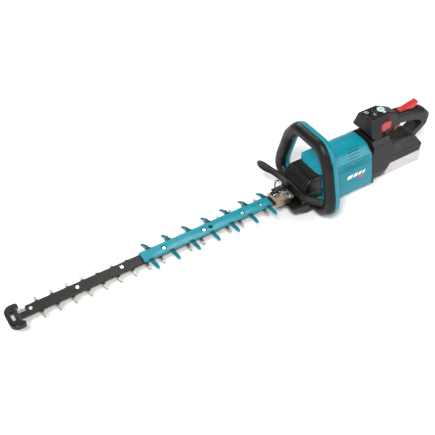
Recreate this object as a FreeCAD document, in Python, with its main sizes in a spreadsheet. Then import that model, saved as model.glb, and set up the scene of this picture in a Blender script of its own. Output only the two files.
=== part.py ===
"""Cordless double-sided hedge trimmer, 600 mm class.

Frame: millimetres, +Z up, +X from the blade tip towards the rear handle, +Y to
the operator's right.  The origin is the middle of the footprint on the ground,
under the machine when it stands on its gear case and its battery.
"""
import FreeCAD, Part
import math
import os
import re

import Sketcher

V = FreeCAD.Vector
DOC = FreeCAD.newDocument("HedgeTrimmer")

# ---------------------------------------------------------------- driving sizes
SIZES = {
    # blade group, along the bar
    "tip_x": -550.0, "tip_len": 31.0, "tip_half": 30.0, "bar_start": -508.0,
    "pitch": 33.6, "teeth": 17.0, "tooth_first": -483.2, "tooth_reach": 30.5,
    "bar_half": 13.0, "bar_thick": 4.0, "bar_top": 45.0, "bar_end": 93.0,
    "blade_thick": 2.5, "blade_half": 11.5, "blade_gap": 0.1, "blade_end": 120.0,
    "stroke": 8.5, "bolt_first": -500.0, "bolt_rad": 2.5, "sleeve_rad": 4.0,
    "comb_front": -251.0, "comb_rear": 78.0, "comb_thick": 4.0, "comb_half": 15.0,
    "finger_first": -232.0, "finger_reach": 41.0, "finger_wide": 7.6,
    "finger_lean": 5.0,
    # gear case and crank
    "case_front": 112.0, "case_rear": 262.0, "case_half": 44.0, "case_split": 34.0,
    "case_top": 60.0, "case_wall": 4.0, "crank_x": 190.0, "module_mm": 1.2,
    "gear_teeth": 44.0, "pinion_teeth": 11.0, "gear_low": 46.0, "gear_thick": 8.0,
    "throw": 8.5, "shaft_rad": 6.0, "run_gap": 0.05,
    # motor and its housing
    "house_front": 188.0, "house_rear": 345.0, "house_half": 50.0, "house_low": 5.0,
    "house_top": 128.0, "shroud_top": 97.5, "shroud_rear": 195.0, "lean": 8.2,
    "house_wall": 3.0, "stator_rad": 27.0, "rotor_rad": 14.5,
    # front handle loop
    "loop_front": 165.0, "loop_split": 187.0, "loop_rear": 197.0, "loop_half": 108.0,
    "loop_top": 203.0, "loop_thick": 31.0,
    # rear handle, which turns about the X axis at turn_z
    "turn_z": 66.0, "turn_gap": 1.5, "ring_rad": 36.0, "neck_rear": 400.0,
    "neck_half": 47.0, "base_rear": 512.0, "base_half": 40.0, "base_low": 38.0,
    "base_top": 78.0, "grip_half": 17.0, "panel_top": 181.0, "panel_front": 338.0,
    "rear_end": 550.0, "battery_half": 39.0, "battery_low": 0.0, "wall": 3.0,
}

SHEET = DOC.addObject("Spreadsheet::Sheet", "Sizes")
for row, (alias, number) in enumerate(SIZES.items(), start=1):
    SHEET.set("A%d" % row, alias)
    SHEET.set("B%d" % row, repr(number))
    SHEET.setAlias("B%d" % row, alias)
DOC.recompute()

PLANES = {
    "XY": (FreeCAD.Rotation(), V(0, 0, 1), "z"),
    "XZ": (FreeCAD.Rotation(V(1, 0, 0), 90), V(0, 1, 0), "y"),
    "YZ": (FreeCAD.Rotation(V(1, 1, 1), 120), V(1, 0, 0), "x"),
}
AXES = {
    "z": FreeCAD.Rotation(),
    "y": FreeCAD.Rotation(V(1, 0, 0), -90),
    "x": FreeCAD.Rotation(V(0, 1, 0), 90),
}
NODES = []


# ---------------------------------------------------------------- small helpers
def bound(text):
    """The text with each size's alias written as a reference to the sheet."""
    text = str(text)
    return re.sub(r"[a-z_][a-z0-9_]*",
                  lambda m: "Sizes." + m.group(0) if m.group(0) in SIZES else m.group(0), text)


def value(text):
    """The number that a size expression comes to."""
    result = SHEET.evalExpression(bound(text))
    return float(getattr(result, "Value", result))


def bind(obj, prop, text):
    obj.setExpression(prop, bound(text))


def place(obj, x, y, z, rotation=None):
    if rotation is not None:
        obj.Placement = FreeCAD.Placement(V(0, 0, 0), rotation)
    for name, text in (("x", x), ("y", y), ("z", z)):
        bind(obj, "Placement.Base." + name, text)


def box(name, x0, x1, y0, y1, z0, z1):
    obj = DOC.addObject("Part::Box", name)
    bind(obj, "Length", "(%s)-(%s)" % (x1, x0))
    bind(obj, "Width", "(%s)-(%s)" % (y1, y0))
    bind(obj, "Height", "(%s)-(%s)" % (z1, z0))
    place(obj, x0, y0, z0)
    return obj


def rod(name, axis, x, y, z, radius, length):
    obj = DOC.addObject("Part::Cylinder", name)
    bind(obj, "Radius", radius)
    bind(obj, "Height", length)
    place(obj, x, y, z, AXES[axis])
    return obj


def cone(name, axis, x, y, z, radius1, radius2, length):
    obj = DOC.addObject("Part::Cone", name)
    bind(obj, "Radius1", radius1)
    bind(obj, "Radius2", radius2)
    bind(obj, "Height", length)
    place(obj, x, y, z, AXES[axis])
    return obj


def torus(name, axis, x, y, z, radius1, radius2):
    obj = DOC.addObject("Part::Torus", name)
    bind(obj, "Radius1", radius1)
    bind(obj, "Radius2", radius2)
    place(obj, x, y, z, AXES[axis])
    return obj


def hexagon(name, x, y, z, radius, height):
    obj = DOC.addObject("Part::Prism", name)
    obj.Polygon = 6
    bind(obj, "Circumradius", radius)
    bind(obj, "Height", height)
    place(obj, x, y, z)
    return obj


def fuse(name, parts):
    obj = DOC.addObject("Part::MultiFuse", name)
    obj.Shapes = list(parts)
    obj.Refine = True
    return obj


def cut(name, base, tools):
    tools = list(tools)
    obj = DOC.addObject("Part::Cut", name)
    obj.Base = base
    obj.Tool = tools[0] if len(tools) == 1 else fuse(name + "_tools", tools)
    obj.Refine = True
    return obj


def common(name, first, second):
    obj = DOC.addObject("Part::Common", name)
    obj.Base = first
    obj.Tool = second
    return obj


def group(name, parts):
    obj = DOC.addObject("Part::Compound", name)
    obj.Links = list(parts)
    return obj


def outline(name, plane, points, start):
    """A closed sketch whose corners are held by dimensions bound to the sheet."""
    rotation, normal, along = PLANES[plane]
    sketch = DOC.addObject("Sketcher::SketchObject", name)
    corners = [V(value(u), value(v), 0) for u, v in points]
    for i, corner in enumerate(corners):
        sketch.addGeometry(Part.LineSegment(corner, corners[(i + 1) % len(corners)]), False)
    for i in range(len(corners)):
        sketch.addConstraint(Sketcher.Constraint(
            "Coincident", i, 2, (i + 1) % len(corners), 1))
    for i, (u, v) in enumerate(points):
        for kind, text in (("DistanceX", u), ("DistanceY", v)):
            index = sketch.addConstraint(
                Sketcher.Constraint(kind, -1, 1, i, 1, value(text)))
            sketch.setExpression("Constraints[%d]" % index, bound(text))
    sketch.Placement = FreeCAD.Placement(V(0, 0, 0), rotation)
    bind(sketch, "Placement.Base." + along, start)
    return sketch


def prism(name, plane, points, start, end, radii=None):
    """An outline pushed from start to end; radii rounds its corners one by one."""
    obj = DOC.addObject("Part::Extrusion", name)
    obj.Base = outline(name + "_outline", plane, points, start)
    obj.DirMode = "Custom"
    obj.Dir = PLANES[plane][1]
    bind(obj, "LengthFwd", "(%s)-(%s)" % (end, start))
    obj.Solid = True
    if radii is None:
        return obj
    DOC.recompute()
    corners = [(value(u), value(v), r) for (u, v), r in zip(points, radii)]
    to_local = PLANES[plane][0].inverted()
    edges = []
    for number, edge in enumerate(obj.Shape.Edges, start=1):
        a, b = (to_local.multVec(vertex.Point) for vertex in edge.Vertexes)
        if math.hypot(a.x - b.x, a.y - b.y) > 1e-4:
            continue
        for u, v, radius in corners:
            if radius and math.hypot(a.x - u, a.y - v) < 1e-3:
                edges.append((number, radius, radius))
    return fillet(name + "_rounded", obj, edges)


def fillet(name, base, edges):
    obj = DOC.addObject("Part::Fillet", name)
    obj.Base = base
    obj.Edges = edges
    return obj


def rims(name, base, axis, radius, ends=(True, True)):
    """Rounds the edges that lie in the two end planes of a shape along an axis."""
    DOC.recompute()
    low, high = {"x": ("XMin", "XMax"), "y": ("YMin", "YMax"), "z": ("ZMin", "ZMax")}[axis]
    bounds = base.Shape.BoundBox
    wanted = []
    if ends[0]:
        wanted.append(getattr(bounds, low))
    if ends[1]:
        wanted.append(getattr(bounds, high))
    edges = []
    for number, edge in enumerate(base.Shape.Edges, start=1):
        spots = [getattr(p, axis) for p in edge.discretize(5)]
        if any(max(abs(spot - level) for spot in spots) < 1e-3 for level in wanted):
            edges.append((number, radius, radius))
    return fillet(name, base, edges)


def rounded(name, x0, x1, y0, y1, z0, z1, axis, radius, rim=0):
    """A box with its four edges along one axis rounded, and its ends if rim is given."""
    base = box(name + "_block", x0, x1, y0, y1, z0, z1)
    DOC.recompute()
    edges = []
    for number, edge in enumerate(base.Shape.Edges, start=1):
        step = edge.Vertexes[1].Point - edge.Vertexes[0].Point
        if abs(getattr(step, axis)) > 1e-3:
            edges.append((number, radius, radius))
    obj = fillet(name, base, edges)
    return rims(name + "_rim", obj, axis, rim) if rim else obj


def node(label, obj):
    """Marks an object as one of the machine's pieces, under its own label."""
    obj.Label = label
    NODES.append((label, obj))
    return obj


def seam_block(name, shift, rear):
    """A large block behind (or before) the leaning seam plane moved back by shift."""
    lean = FreeCAD.Rotation(V(0, 1, 0), -value("lean"))
    corner = lean.multVec(V(value(shift) if rear else value(shift) - 300, -150, -250))
    obj = DOC.addObject("Part::Box", name)
    obj.Length = 300
    obj.Width = 300
    obj.Height = 500
    place(obj, "house_rear+(%r)" % corner.x, repr(corner.y), "turn_z+(%r)" % corner.z, lean)
    return obj


def leaning_rod(name, shift, radius, length):
    """A cylinder on the rear handle's turning axis, starting at shift along it."""
    lean = FreeCAD.Rotation(V(0, 1, 0), 90 - value("lean"))
    start = lean.multVec(V(0, 0, value(shift)))
    obj = DOC.addObject("Part::Cylinder", name)
    bind(obj, "Radius", radius)
    bind(obj, "Height", length)
    place(obj, "house_rear+(%r)" % start.x, "0", "turn_z+(%r)" % start.z, lean)
    return obj


def slot(name, x, y, half_length, radius, z0, z1):
    """An oblong hole along X, from z0 to z1."""
    middle = box(name + "_mid", "%s-(%s)" % (x, half_length), "%s+(%s)" % (x, half_length),
                 "%s-(%s)" % (y, radius), "%s+(%s)" % (y, radius), z0, z1)
    ends = [rod(name + "_end", "z", "%s%s(%s)" % (x, sign, half_length), y, z0, radius,
                "(%s)-(%s)" % (z1, z0)) for sign in "+-"]
    return fuse(name, [middle] + ends)


def mirrored_y(name, base):
    obj = DOC.addObject("Part::Mirroring", name)
    obj.Source = base
    obj.Normal = V(0, 1, 0)
    obj.Base = V(0, 0, 0)
    return obj


# ---------------------------------------------------------------- blade group
BOLTS = ["bolt_first+%d*3*pitch" % i for i in range(6)] + ["bolt_first+16.5*pitch"]
CHIP_HOLES = ["bolt_first+4.5*pitch", "bolt_first+12.5*pitch"]
UPPER_TOP = "bar_top-bar_thick-blade_gap"
UPPER_LOW = "bar_top-bar_thick-blade_gap-blade_thick"
LOWER_TOP = "bar_top-bar_thick-2*blade_gap-blade_thick"
LOWER_LOW = "bar_top-bar_thick-2*blade_gap-2*blade_thick"
SLEEVE_LOW = "bar_top-bar_thick-3*blade_gap-2*blade_thick"


def guide_bar():
    """Steel strip that carries the blades, with a bulge beside each tooth and a
    narrow tongue in front that the tip guard is moulded on."""
    strip = box("bar_strip", "bar_start", "bar_end", "-bar_half", "bar_half",
                "bar_top-bar_thick", "bar_top")
    tongue = box("bar_tongue", "tip_x+19", "bar_start+1", "-bar_half", "1",
                 "bar_top-bar_thick", "bar_top")
    bulges = []
    for i in range(16):
        for sign in "+-":
            bulges.append(rod("bar_bulge", "z", "tooth_first+%s*pitch" % i, sign + "(bar_half-4)",
                              "bar_top-bar_thick", "6", "bar_thick"))
    holes = [rod("bar_hole", "z", x, "0", "bar_top-bar_thick-1", "bolt_rad+run_gap",
                 "bar_thick+2") for x in BOLTS]
    holes += [rod("chip_hole", "z", x, "0", "bar_top-bar_thick-1", "2.1", "bar_thick+2")
              for x in CHIP_HOLES]
    return node("guide_bar", cut("bar", fuse("bar_body", [strip, tongue] + bulges), holes))


def tooth_points(side):
    """Corners of one shark-fin tooth; side is +1 or -1."""
    root = "%d*(blade_half-1)" % side
    tip = "%d*tooth_reach" % side
    return [("tooth_first-8", root), ("tooth_first-3.4", "%d*(bar_half+2.5)" % side),
            ("tooth_first-0.8", "%d*(tooth_reach-1.5)" % side), ("tooth_first+1", tip),
            ("tooth_first+2.4", "%d*(tooth_reach-1)" % side),
            ("tooth_first+4", "%d*(bar_half+4)" % side), ("tooth_first+7", root)]


def blade(label, low, tail_hole):
    """Double-sided toothed strip with oblong holes for the guide sleeves."""
    body = DOC.addObject("PartDesign::Body", label + "_body")
    plane = [f for f in body.Origin.OriginFeatures if f.Role == "XY_Plane"][0]
    step = [f for f in body.Origin.OriginFeatures if f.Role == "X_Axis"][0]
    strip = [("bar_start-11", "-blade_half"), ("blade_end", "-blade_half"),
             ("blade_end", "blade_half"), ("bar_start-11", "blade_half")]
    pad_sketch(body, plane, label + "_strip", strip, low)
    for side in (1, -1):
        tooth = pad_sketch(body, plane, label + "_tooth", tooth_points(side), low)
        row = body.newObject("PartDesign::LinearPattern", label + "_teeth")
        row.Originals = [tooth]
        row.Direction = (step, [""])
        bind(row, "Length", "(teeth-1)*pitch")
        bind(row, "Occurrences", "teeth")
        body.Tip = row
        DOC.recompute()
    holes = [slot(label + "_slot", x, "0", "stroke+0.3", "sleeve_rad+run_gap",
                  "%s-1" % low, "%s+blade_thick+1" % low) for x in BOLTS]
    holes += [slot(label + "_chip", x, "0", "stroke+0.3", "3.2",
                   "%s-1" % low, "%s+blade_thick+1" % low) for x in CHIP_HOLES]
    holes.append(rod(label + "_pin_hole", "z", tail_hole, "0", "%s-1" % low, "4",
                     "blade_thick+2"))
    return node(label, cut(label + "_cut", body, holes))


def pad_sketch(body, plane, name, points, low):
    """Pads a closed outline on the body's base plane up from the level low."""
    sketch = body.newObject("Sketcher::SketchObject", name)
    sketch.AttachmentSupport = [(plane, "")]
    sketch.MapMode = "FlatFace"
    sketch.setExpression("AttachmentOffset.Base.z", bound(low))
    corners = [V(value(u), value(v), 0) for u, v in points]
    for i, corner in enumerate(corners):
        sketch.addGeometry(Part.LineSegment(corner, corners[(i + 1) % len(corners)]), False)
    for i in range(len(corners)):
        sketch.addConstraint(Sketcher.Constraint(
            "Coincident", i, 2, (i + 1) % len(corners), 1))
    for i, (u, v) in enumerate(points):
        for kind, text in (("DistanceX", u), ("DistanceY", v)):
            index = sketch.addConstraint(
                Sketcher.Constraint(kind, -1, 1, i, 1, value(text)))
            sketch.setExpression("Constraints[%d]" % index, bound(text))
    pad = body.newObject("PartDesign::Pad", name + "_pad")
    pad.Profile = sketch
    bind(pad, "Length", "blade_thick")
    body.Tip = pad
    DOC.recompute()
    return pad


def bolt_stack():
    """Guide bolts with the sleeves that the blades slide on, washers and nuts."""
    bolts, sleeves, washers, nuts = [], [], [], []
    for x in BOLTS:
        head = cone("bolt_head", "z", x, "0", "bar_top", "4.6", "3.6", "2.4")
        shank = rod("bolt_shank", "z", x, "0", "%s-6.2" % SLEEVE_LOW, "bolt_rad",
                    "bar_top-(%s)+6.2" % SLEEVE_LOW)
        recess = hexagon("bolt_recess", x, "0", "bar_top+1", "1.7", "3")
        bolts.append(cut("bolt", fuse("bolt_body", [head, shank]), [recess]))
        sleeves.append(cut("sleeve",
                           rod("sleeve_out", "z", x, "0", SLEEVE_LOW, "sleeve_rad",
                               "bar_top-bar_thick-(%s)" % SLEEVE_LOW),
                           [rod("sleeve_in", "z", x, "0", "%s-1" % SLEEVE_LOW,
                                "bolt_rad+run_gap", "20")]))
        washers.append(cut("washer",
                           rod("washer_out", "z", x, "0", "%s-1.5" % SLEEVE_LOW, "7.5", "1.5"),
                           [rod("washer_in", "z", x, "0", "%s-3" % SLEEVE_LOW,
                                "bolt_rad+run_gap", "5")]))
        nuts.append(cut("nut", hexagon("nut_out", x, "0", "%s-5.5" % SLEEVE_LOW, "4.6", "4"),
                        [rod("nut_in", "z", x, "0", "%s-7" % SLEEVE_LOW,
                             "bolt_rad+run_gap", "9")]))
    node("guide_bolts", group("bolt_set", bolts))
    node("guide_sleeves", group("sleeve_set", sleeves))
    node("guide_washers", group("washer_set", washers))
    node("guide_nuts", group("nut_set", nuts))


def tip_guard():
    """Blunt bean-shaped nose on the bar's tongue, with a slot to hang the machine by."""
    nose = prism("nose", "XY", [
        ("tip_x", "-tip_half"), ("tip_x+tip_len", "-tip_half"), ("tip_x+tip_len", "-tip_half+8"),
        ("tip_x+tip_len-5", "-tip_half+12"), ("tip_x+tip_len-5", "tip_half-12"),
        ("tip_x+tip_len", "tip_half-8"), ("tip_x+tip_len", "tip_half"), ("tip_x", "tip_half")],
        "bar_top-11.5", "bar_top+2", [17, 6, 3, 6, 6, 3, 6, 17])
    nose = rims("nose_rims", nose, "z", 2.5)
    pocket = box("nose_pocket", "bar_start-12-stroke", "tip_x+tip_len+9", "-blade_half-0.5",
                 "blade_half+0.5", "%s-0.3" % LOWER_LOW, "bar_top-bar_thick+0.01")
    seat = box("nose_seat", "tip_x+19", "tip_x+tip_len+9", "-bar_half", "1",
               "bar_top-bar_thick", "bar_top")
    hang = slot_y("nose_slot", "tip_x+12.5", "0", "10", "3.2", "bar_top-20", "bar_top+10")
    return node("tip_guard", cut("nose_cut", nose, [pocket, seat, hang]))


def slot_y(name, x, y, half_length, radius, z0, z1):
    """An oblong hole along Y, from z0 to z1."""
    middle = box(name + "_mid", "%s-(%s)" % (x, radius), "%s+(%s)" % (x, radius),
                 "%s-(%s)" % (y, half_length), "%s+(%s)" % (y, half_length), z0, z1)
    ends = [rod(name + "_end", "z", x, "%s%s(%s)" % (y, sign, half_length), z0, radius,
                "(%s)-(%s)" % (z1, z0)) for sign in "+-"]
    return fuse(name, [middle] + ends)


def finger_guard():
    """Comb of blunt fingers over the rear half of the blades."""
    plate = box("comb_plate", "comb_front", "comb_rear", "-comb_half", "comb_half",
                "bar_top", "bar_top+comb_thick")
    pieces = [plate]
    for i in range(7):
        x = "finger_first+%d*1.5*pitch" % i
        for sign in (1, -1):
            pieces += finger(x, sign)
    holes = [rod("comb_hole", "z", x, "0", "bar_top-1", "6", "comb_thick+4") for x in BOLTS[3:]]
    holes.append(rod("comb_chip", "z", CHIP_HOLES[1], "0", "bar_top-1", "5", "comb_thick+4"))
    return node("finger_guard", cut("comb", fuse("comb_body", pieces), holes))


def finger(x, sign):
    """One blunt finger: a rib that runs out over the teeth and a rounded end."""
    low = "bar_top-3"
    high = "bar_top+comb_thick-0.5"
    base = "%s%+d*finger_lean" % (x, sign)
    reach = "%d*(finger_reach-finger_wide/2)" % sign
    edge = "%d*(tooth_reach+1.5)" % sign
    root = "%d*(comb_half-2)" % sign
    spread = "%d*(comb_half+8)" % sign
    rib = prism("finger_rib", "XY", [("%s-finger_wide/2" % base, root),
                                     ("%s+finger_wide/2" % base, root),
                                     ("%s+finger_wide/2" % x, reach),
                                     ("%s-finger_wide/2" % x, reach)], "bar_top", high)
    flare = prism("finger_flare", "XY", [("%s-9" % base, root), ("%s+9" % base, root),
                                         ("(%s+%s)/2+finger_wide/2" % (base, x), spread),
                                         ("(%s+%s)/2-finger_wide/2" % (base, x), spread)],
                  "bar_top", high)
    drop_y = sorted([edge, reach], key=value)
    drop = box("finger_drop", "%s-finger_wide/2" % x, "%s+finger_wide/2" % x,
               drop_y[0], drop_y[1], low, high)
    end = rod("finger_end", "z", x, reach, low, "finger_wide/2", "(%s)-(%s)" % (high, low))
    return [rib, flare, drop, end]


# ---------------------------------------------------------------- gear case
MOTOR_X = "crank_x+module_mm*(gear_teeth+pinion_teeth)/2"
SADDLE_BOLTS = [("case_front+15", "-17.6", "bar_top+6.5"),
                ("case_front+15", "17.6", "bar_top+6.5"), ("case_front+4", "0", "bar_top+6.5")]


def blade_bracket():
    """Steel saddle over the tail of the bar, bolted down to two posts of the gear case."""
    front = rounded("saddle_top", "comb_rear+7.5", "case_front+10", "-17.8", "17.8",
                    "bar_top+2.5", "bar_top+6.5", "x", 1.5)
    rear = box("saddle_ears", "case_front+8", "case_front+22", "-20.8", "20.8",
               "bar_top+2.5", "bar_top+6.5")
    skirts = [box("saddle_skirt", "comb_rear+7.5", "case_front+10", y0, y1, "bar_top-11",
                  "bar_top+4.5") for y0, y1 in (("15.4", "17.8"), ("-17.8", "-15.4"))]
    block = box("saddle_block", "comb_rear+7.5", "bar_end", "-14", "14", "bar_top", "bar_top+4.5")
    holes = [rod("saddle_hole", "z", x, y, "bar_top-2", "1.55", "16")
             for x, y, level in SADDLE_BOLTS[:2]]
    holes.append(rod("saddle_cap_hole", "z", "case_front+4", "0", "bar_top-2", "3.05", "16"))
    return node("blade_bracket", cut("saddle", fuse("saddle_body", [front, rear, block] + skirts),
                                     holes))


def bracket_bolts():
    screws = []
    for (x, y, level), head, shank, depth in zip(SADDLE_BOLTS, ("3.2", "3.2", "5.5"),
                                                 ("1.5", "1.5", "3"), ("7.8", "7.8", "3.9")):
        cap = hexagon("saddle_bolt_head", x, y, level, head, head + "*0.7")
        stem = rod("saddle_bolt_shank", "z", x, y, "%s-%s" % (level, depth), shank,
                   depth + "+0.2")
        screws.append(fuse("saddle_bolt", [cap, stem]))
    return node("bracket_bolts", group("saddle_bolts", screws))


def gear_case():
    """Lower half of the gear case: a tray with a sloped front and a flat sole."""
    outer = prism("tray", "XZ", [("case_front", "case_split"), ("case_front+6", "case_split-14"),
                                 ("case_front+44", "2"), ("case_rear", "2"),
                                 ("case_rear", "case_split")],
                  "-case_half", "case_half", [0, 4, 12, 6, 0])
    outer = rims("tray_rims", outer, "y", 5)
    pocket = rounded("tray_pocket", "case_front+20.5", "case_rear-20", "-case_half+case_wall+3",
                     "case_half-case_wall-3", "case_split-17", "case_split+5", "z", 6)
    seat = rod("tray_seat", "z", "crank_x", "0", "case_split-23", "11", "12")
    entry = box("tray_entry", "case_front-5", "case_front+21", "-21.8", "21.8",
                "case_split-8", "case_split+12")
    hollow = cut("tray_cut", outer, [pocket, seat, entry])
    posts = [cut("tray_post", rod("tray_post_body", "z", x, y, "case_split-12", "2.9",
                                  "bar_top+2.5-(case_split-12)"),
                 [rod("tray_post_hole", "z", x, y, "bar_top-3", "1.55", "9")])
             for x, y, level in SADDLE_BOLTS[:2]]
    return node("gear_case", fuse("tray_solid", [hollow] + posts))


def gear_cover():
    """Upper half of the gear case, a lid with the upper bearing seat."""
    outer = prism("lid", "XZ", [("case_front+30.4", "case_split+0.1"),
                                ("case_front+30.4", "case_top"), ("case_rear", "case_top"),
                                ("case_rear", "case_split+0.1")],
                  "-case_half+2", "case_half-2", [0, 5, 4, 0])
    outer = rims("lid_rims", outer, "y", 4)
    pocket = rounded("lid_pocket", "case_front+34", "case_rear-20", "-case_half+case_wall+3",
                     "case_half-case_wall-3", "case_split-2", "case_top-3", "z", 6)
    entry = box("lid_entry", "case_front+20", "case_front+36", "-30", "30",
                "case_split-2", "bar_top")
    upper = rod("lid_seat", "z", "crank_x", "0", "case_top-5", "11", "8")
    shaft = rod("lid_shaft", "z", MOTOR_X, "0", "case_top-10", "8.2", "20")
    return node("gear_cover", cut("lid_cut", outer, [pocket, entry, upper, shaft]))


def shroud_side(inset):
    """Side outline of the moulded hood over the gear case, drawn inset."""
    return [("case_front+30.4+%s" % inset, "case_top+0.2"),
            ("case_front+31+%s" % inset, "case_top+14"),
            ("case_front+42+%s" % inset, "shroud_top-8-%s" % inset),
            ("case_front+52+%s" % inset, "shroud_top-%s" % inset),
            ("shroud_rear-%s" % inset, "shroud_top-%s" % inset),
            ("shroud_rear-%s" % inset, "case_top+0.2")]


def case_shroud():
    """Moulded hood that covers the gear case between the guard and the motor."""
    outer = prism("hood", "XZ", shroud_side("0"), "-case_half+2", "case_half-2",
                  [0, 6, 14, 10, 0, 0])
    outer = rims("hood_rims", outer, "y", 7)
    room = prism("hood_room", "XZ", shroud_side("3"), "-case_half+5", "case_half-5",
                 [0, 4, 10, 8, 0, 0])
    floor = box("hood_floor", "case_front+33.4", "shroud_rear-3", "-case_half+5", "case_half-5",
                "case_top-5", "case_top+1")
    foot = box("hood_foot", "case_front", "shroud_rear+9", "-60", "60", "case_top-20",
               "case_top+0.2")
    return node("case_shroud", cut("hood_cut", outer, [room, floor, foot]))


def case_screws():
    """Screws that close the gear case, head down in the sole."""
    screws = []
    for x in ("case_front+60", "case_rear-10"):
        for y in ("-case_half+10", "case_half-10"):
            screws.append(rod("case_foot", "z", x, y, "0", "6", "2"))
    return node("case_feet", group("case_screw_set", screws))


def ring(name, x, y, z, outer, inner, height):
    return cut(name, rod(name + "_out", "z", x, y, z, outer, height),
               [rod(name + "_in", "z", x, y, "(%s)-1" % z, inner, "(%s)+2" % height)])


def spur(name, x, y, z, count, height, phase):
    """Spur gear with straight-flanked teeth, count teeth of the common module."""
    number = int(value(count))
    hub = rod(name + "_rim", "z", x, y, z, "module_mm*(%s/2-1.15)" % count, height)
    teeth = []
    step = 360.0 / number
    for i in range(number):
        tooth = DOC.addObject("Part::Wedge", name + "_tooth")
        for prop, text in (("Xmin", "-0.62*module_mm"), ("Xmax", "0.62*module_mm"),
                           ("X2min", "-0.25*module_mm"), ("X2max", "0.25*module_mm"),
                           ("Ymin", "module_mm*(%s/2-1.4)" % count),
                           ("Ymax", "module_mm*(%s/2+0.8)" % count),
                           ("Zmin", "0"), ("Zmax", height), ("Z2min", "0"), ("Z2max", height)):
            bind(tooth, prop, text)
        place(tooth, x, y, z, FreeCAD.Rotation(V(0, 0, 1), phase + step * i))
        teeth.append(tooth)
    return fuse(name, [hub] + teeth)


def crank_train():
    """Crank gear with two eccentrics half a turn apart, its rods and bearings."""
    gear = spur("crank_spur", "crank_x", "0", "gear_low", "gear_teeth", "gear_thick", 0.0)
    shaft = rod("crank_shaft", "z", "crank_x", "0", "case_split-20", "shaft_rad",
                "case_top-case_split+20")
    upper = rod("crank_upper", "z", "crank_x+throw", "0", UPPER_TOP + "+0.2", "16", "3")
    lower = rod("crank_lower", "z", "crank_x-throw", "0", LOWER_LOW + "-3.3", "16", "3")
    web = rod("crank_web", "z", "crank_x", "0", LOWER_LOW + "-0.3", "14",
              UPPER_TOP + "+0.2-(" + LOWER_LOW + "-0.3)")
    flange = rod("crank_flange", "z", "crank_x", "0", UPPER_TOP + "+3.2", "14",
                 "gear_low-(" + UPPER_TOP + "+3.2)")
    node("crank_gear", fuse("crank", [gear, shaft, upper, lower, web, flange]))
    node("upper_rod", crank_rod("upper", "crank_x+throw", UPPER_TOP + "+0.4", "2.6"))
    node("lower_rod", crank_rod("lower", "crank_x-throw", LOWER_LOW + "-3.1", "2.6"))
    node("crank_bearings", group("crank_bearing_set", [
        ring("bearing_low", "crank_x", "0", "case_split-22", "10.95", "shaft_rad+run_gap", "5"),
        ring("bearing_high", "crank_x", "0", "case_top-5", "10.95", "shaft_rad+run_gap", "5")]))


def crank_rod(name, centre, low, height):
    """Flat connecting rod: a ring round the eccentric, an arm and a pin eye."""
    eye_x = "(%s)-78" % centre
    band = rod(name + "_band", "z", centre, "0", low, "21", height)
    eye = rod(name + "_eye", "z", eye_x, "0", low, "6.5", height)
    arm = box(name + "_arm", eye_x, centre, "-4.5", "4.5", low, "(%s)+(%s)" % (low, height))
    holes = [rod(name + "_bore", "z", centre, "0", "(%s)-1" % low, "16+run_gap", "6"),
             rod(name + "_pin_bore", "z", eye_x, "0", "(%s)-1" % low, "4.05", "6")]
    return cut(name + "_rod_cut", fuse(name + "_rod_body", [band, eye, arm]), holes)


# ---------------------------------------------------------------- motor
def motor():
    """Brushless motor standing over the gear case, with its pinion, fan and bearings."""
    pinion = spur("motor_pinion", MOTOR_X, "0", "gear_low", "pinion_teeth", "gear_thick",
                  180.0 / 11 + 90.0)
    shaft = rod("rotor_axle", "z", MOTOR_X, "0", "gear_low", "4", "case_top+46-gear_low")
    node("rotor_shaft", fuse("rotor_shaft_body", [pinion, shaft]))
    node("rotor", ring("rotor_stack", MOTOR_X, "0", "case_top+10", "rotor_rad", "4", "21"))
    blades = [ring("fan_disc", MOTOR_X, "0", "case_top+32", "19", "4", "1.6")]
    for i in range(9):
        vane = DOC.addObject("Part::Box", "fan_vane")
        bind(vane, "Length", "12")
        bind(vane, "Width", "1.4")
        bind(vane, "Height", "5")
        angle = FreeCAD.Rotation(V(0, 0, 1), 40.0 * i)
        offset = angle.multVec(V(6.5, -0.7, 0))
        place(vane, "%s+(%r)" % (MOTOR_X, offset.x), repr(offset.y), "case_top+33", angle)
        blades.append(vane)
    node("cooling_fan", fuse("fan", blades))
    core = ring("stator_core", MOTOR_X, "0", "case_top+11", "stator_rad-1", "rotor_rad+0.5", "19")
    node("stator", core)
    node("motor_bearings", group("motor_bearing_set", [
        ring("motor_bearing_low", MOTOR_X, "0", "case_top-4.5", "8.15", "4+run_gap", "5"),
        ring("motor_bearing_high", MOTOR_X, "0", "case_top+40", "8", "4+run_gap", "5")]))


def house_points(inset, top):
    """Rounded section of the motor housing, drawn inset from its outer faces."""
    half = "house_half-%s" % inset
    return [("-(%s)" % half, "house_low+%s" % inset), (half, "house_low+%s" % inset),
            ("%s+2" % half, "house_low+30"), ("%s-3" % half, "%s-24-%s" % (top, inset)),
            ("%s-26" % half, "%s-%s" % (top, inset)), ("-(%s)+26" % half, "%s-%s" % (top, inset)),
            ("-(%s)+3" % half, "%s-24-%s" % (top, inset)), ("-(%s)-2" % half, "house_low+30")]


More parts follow.
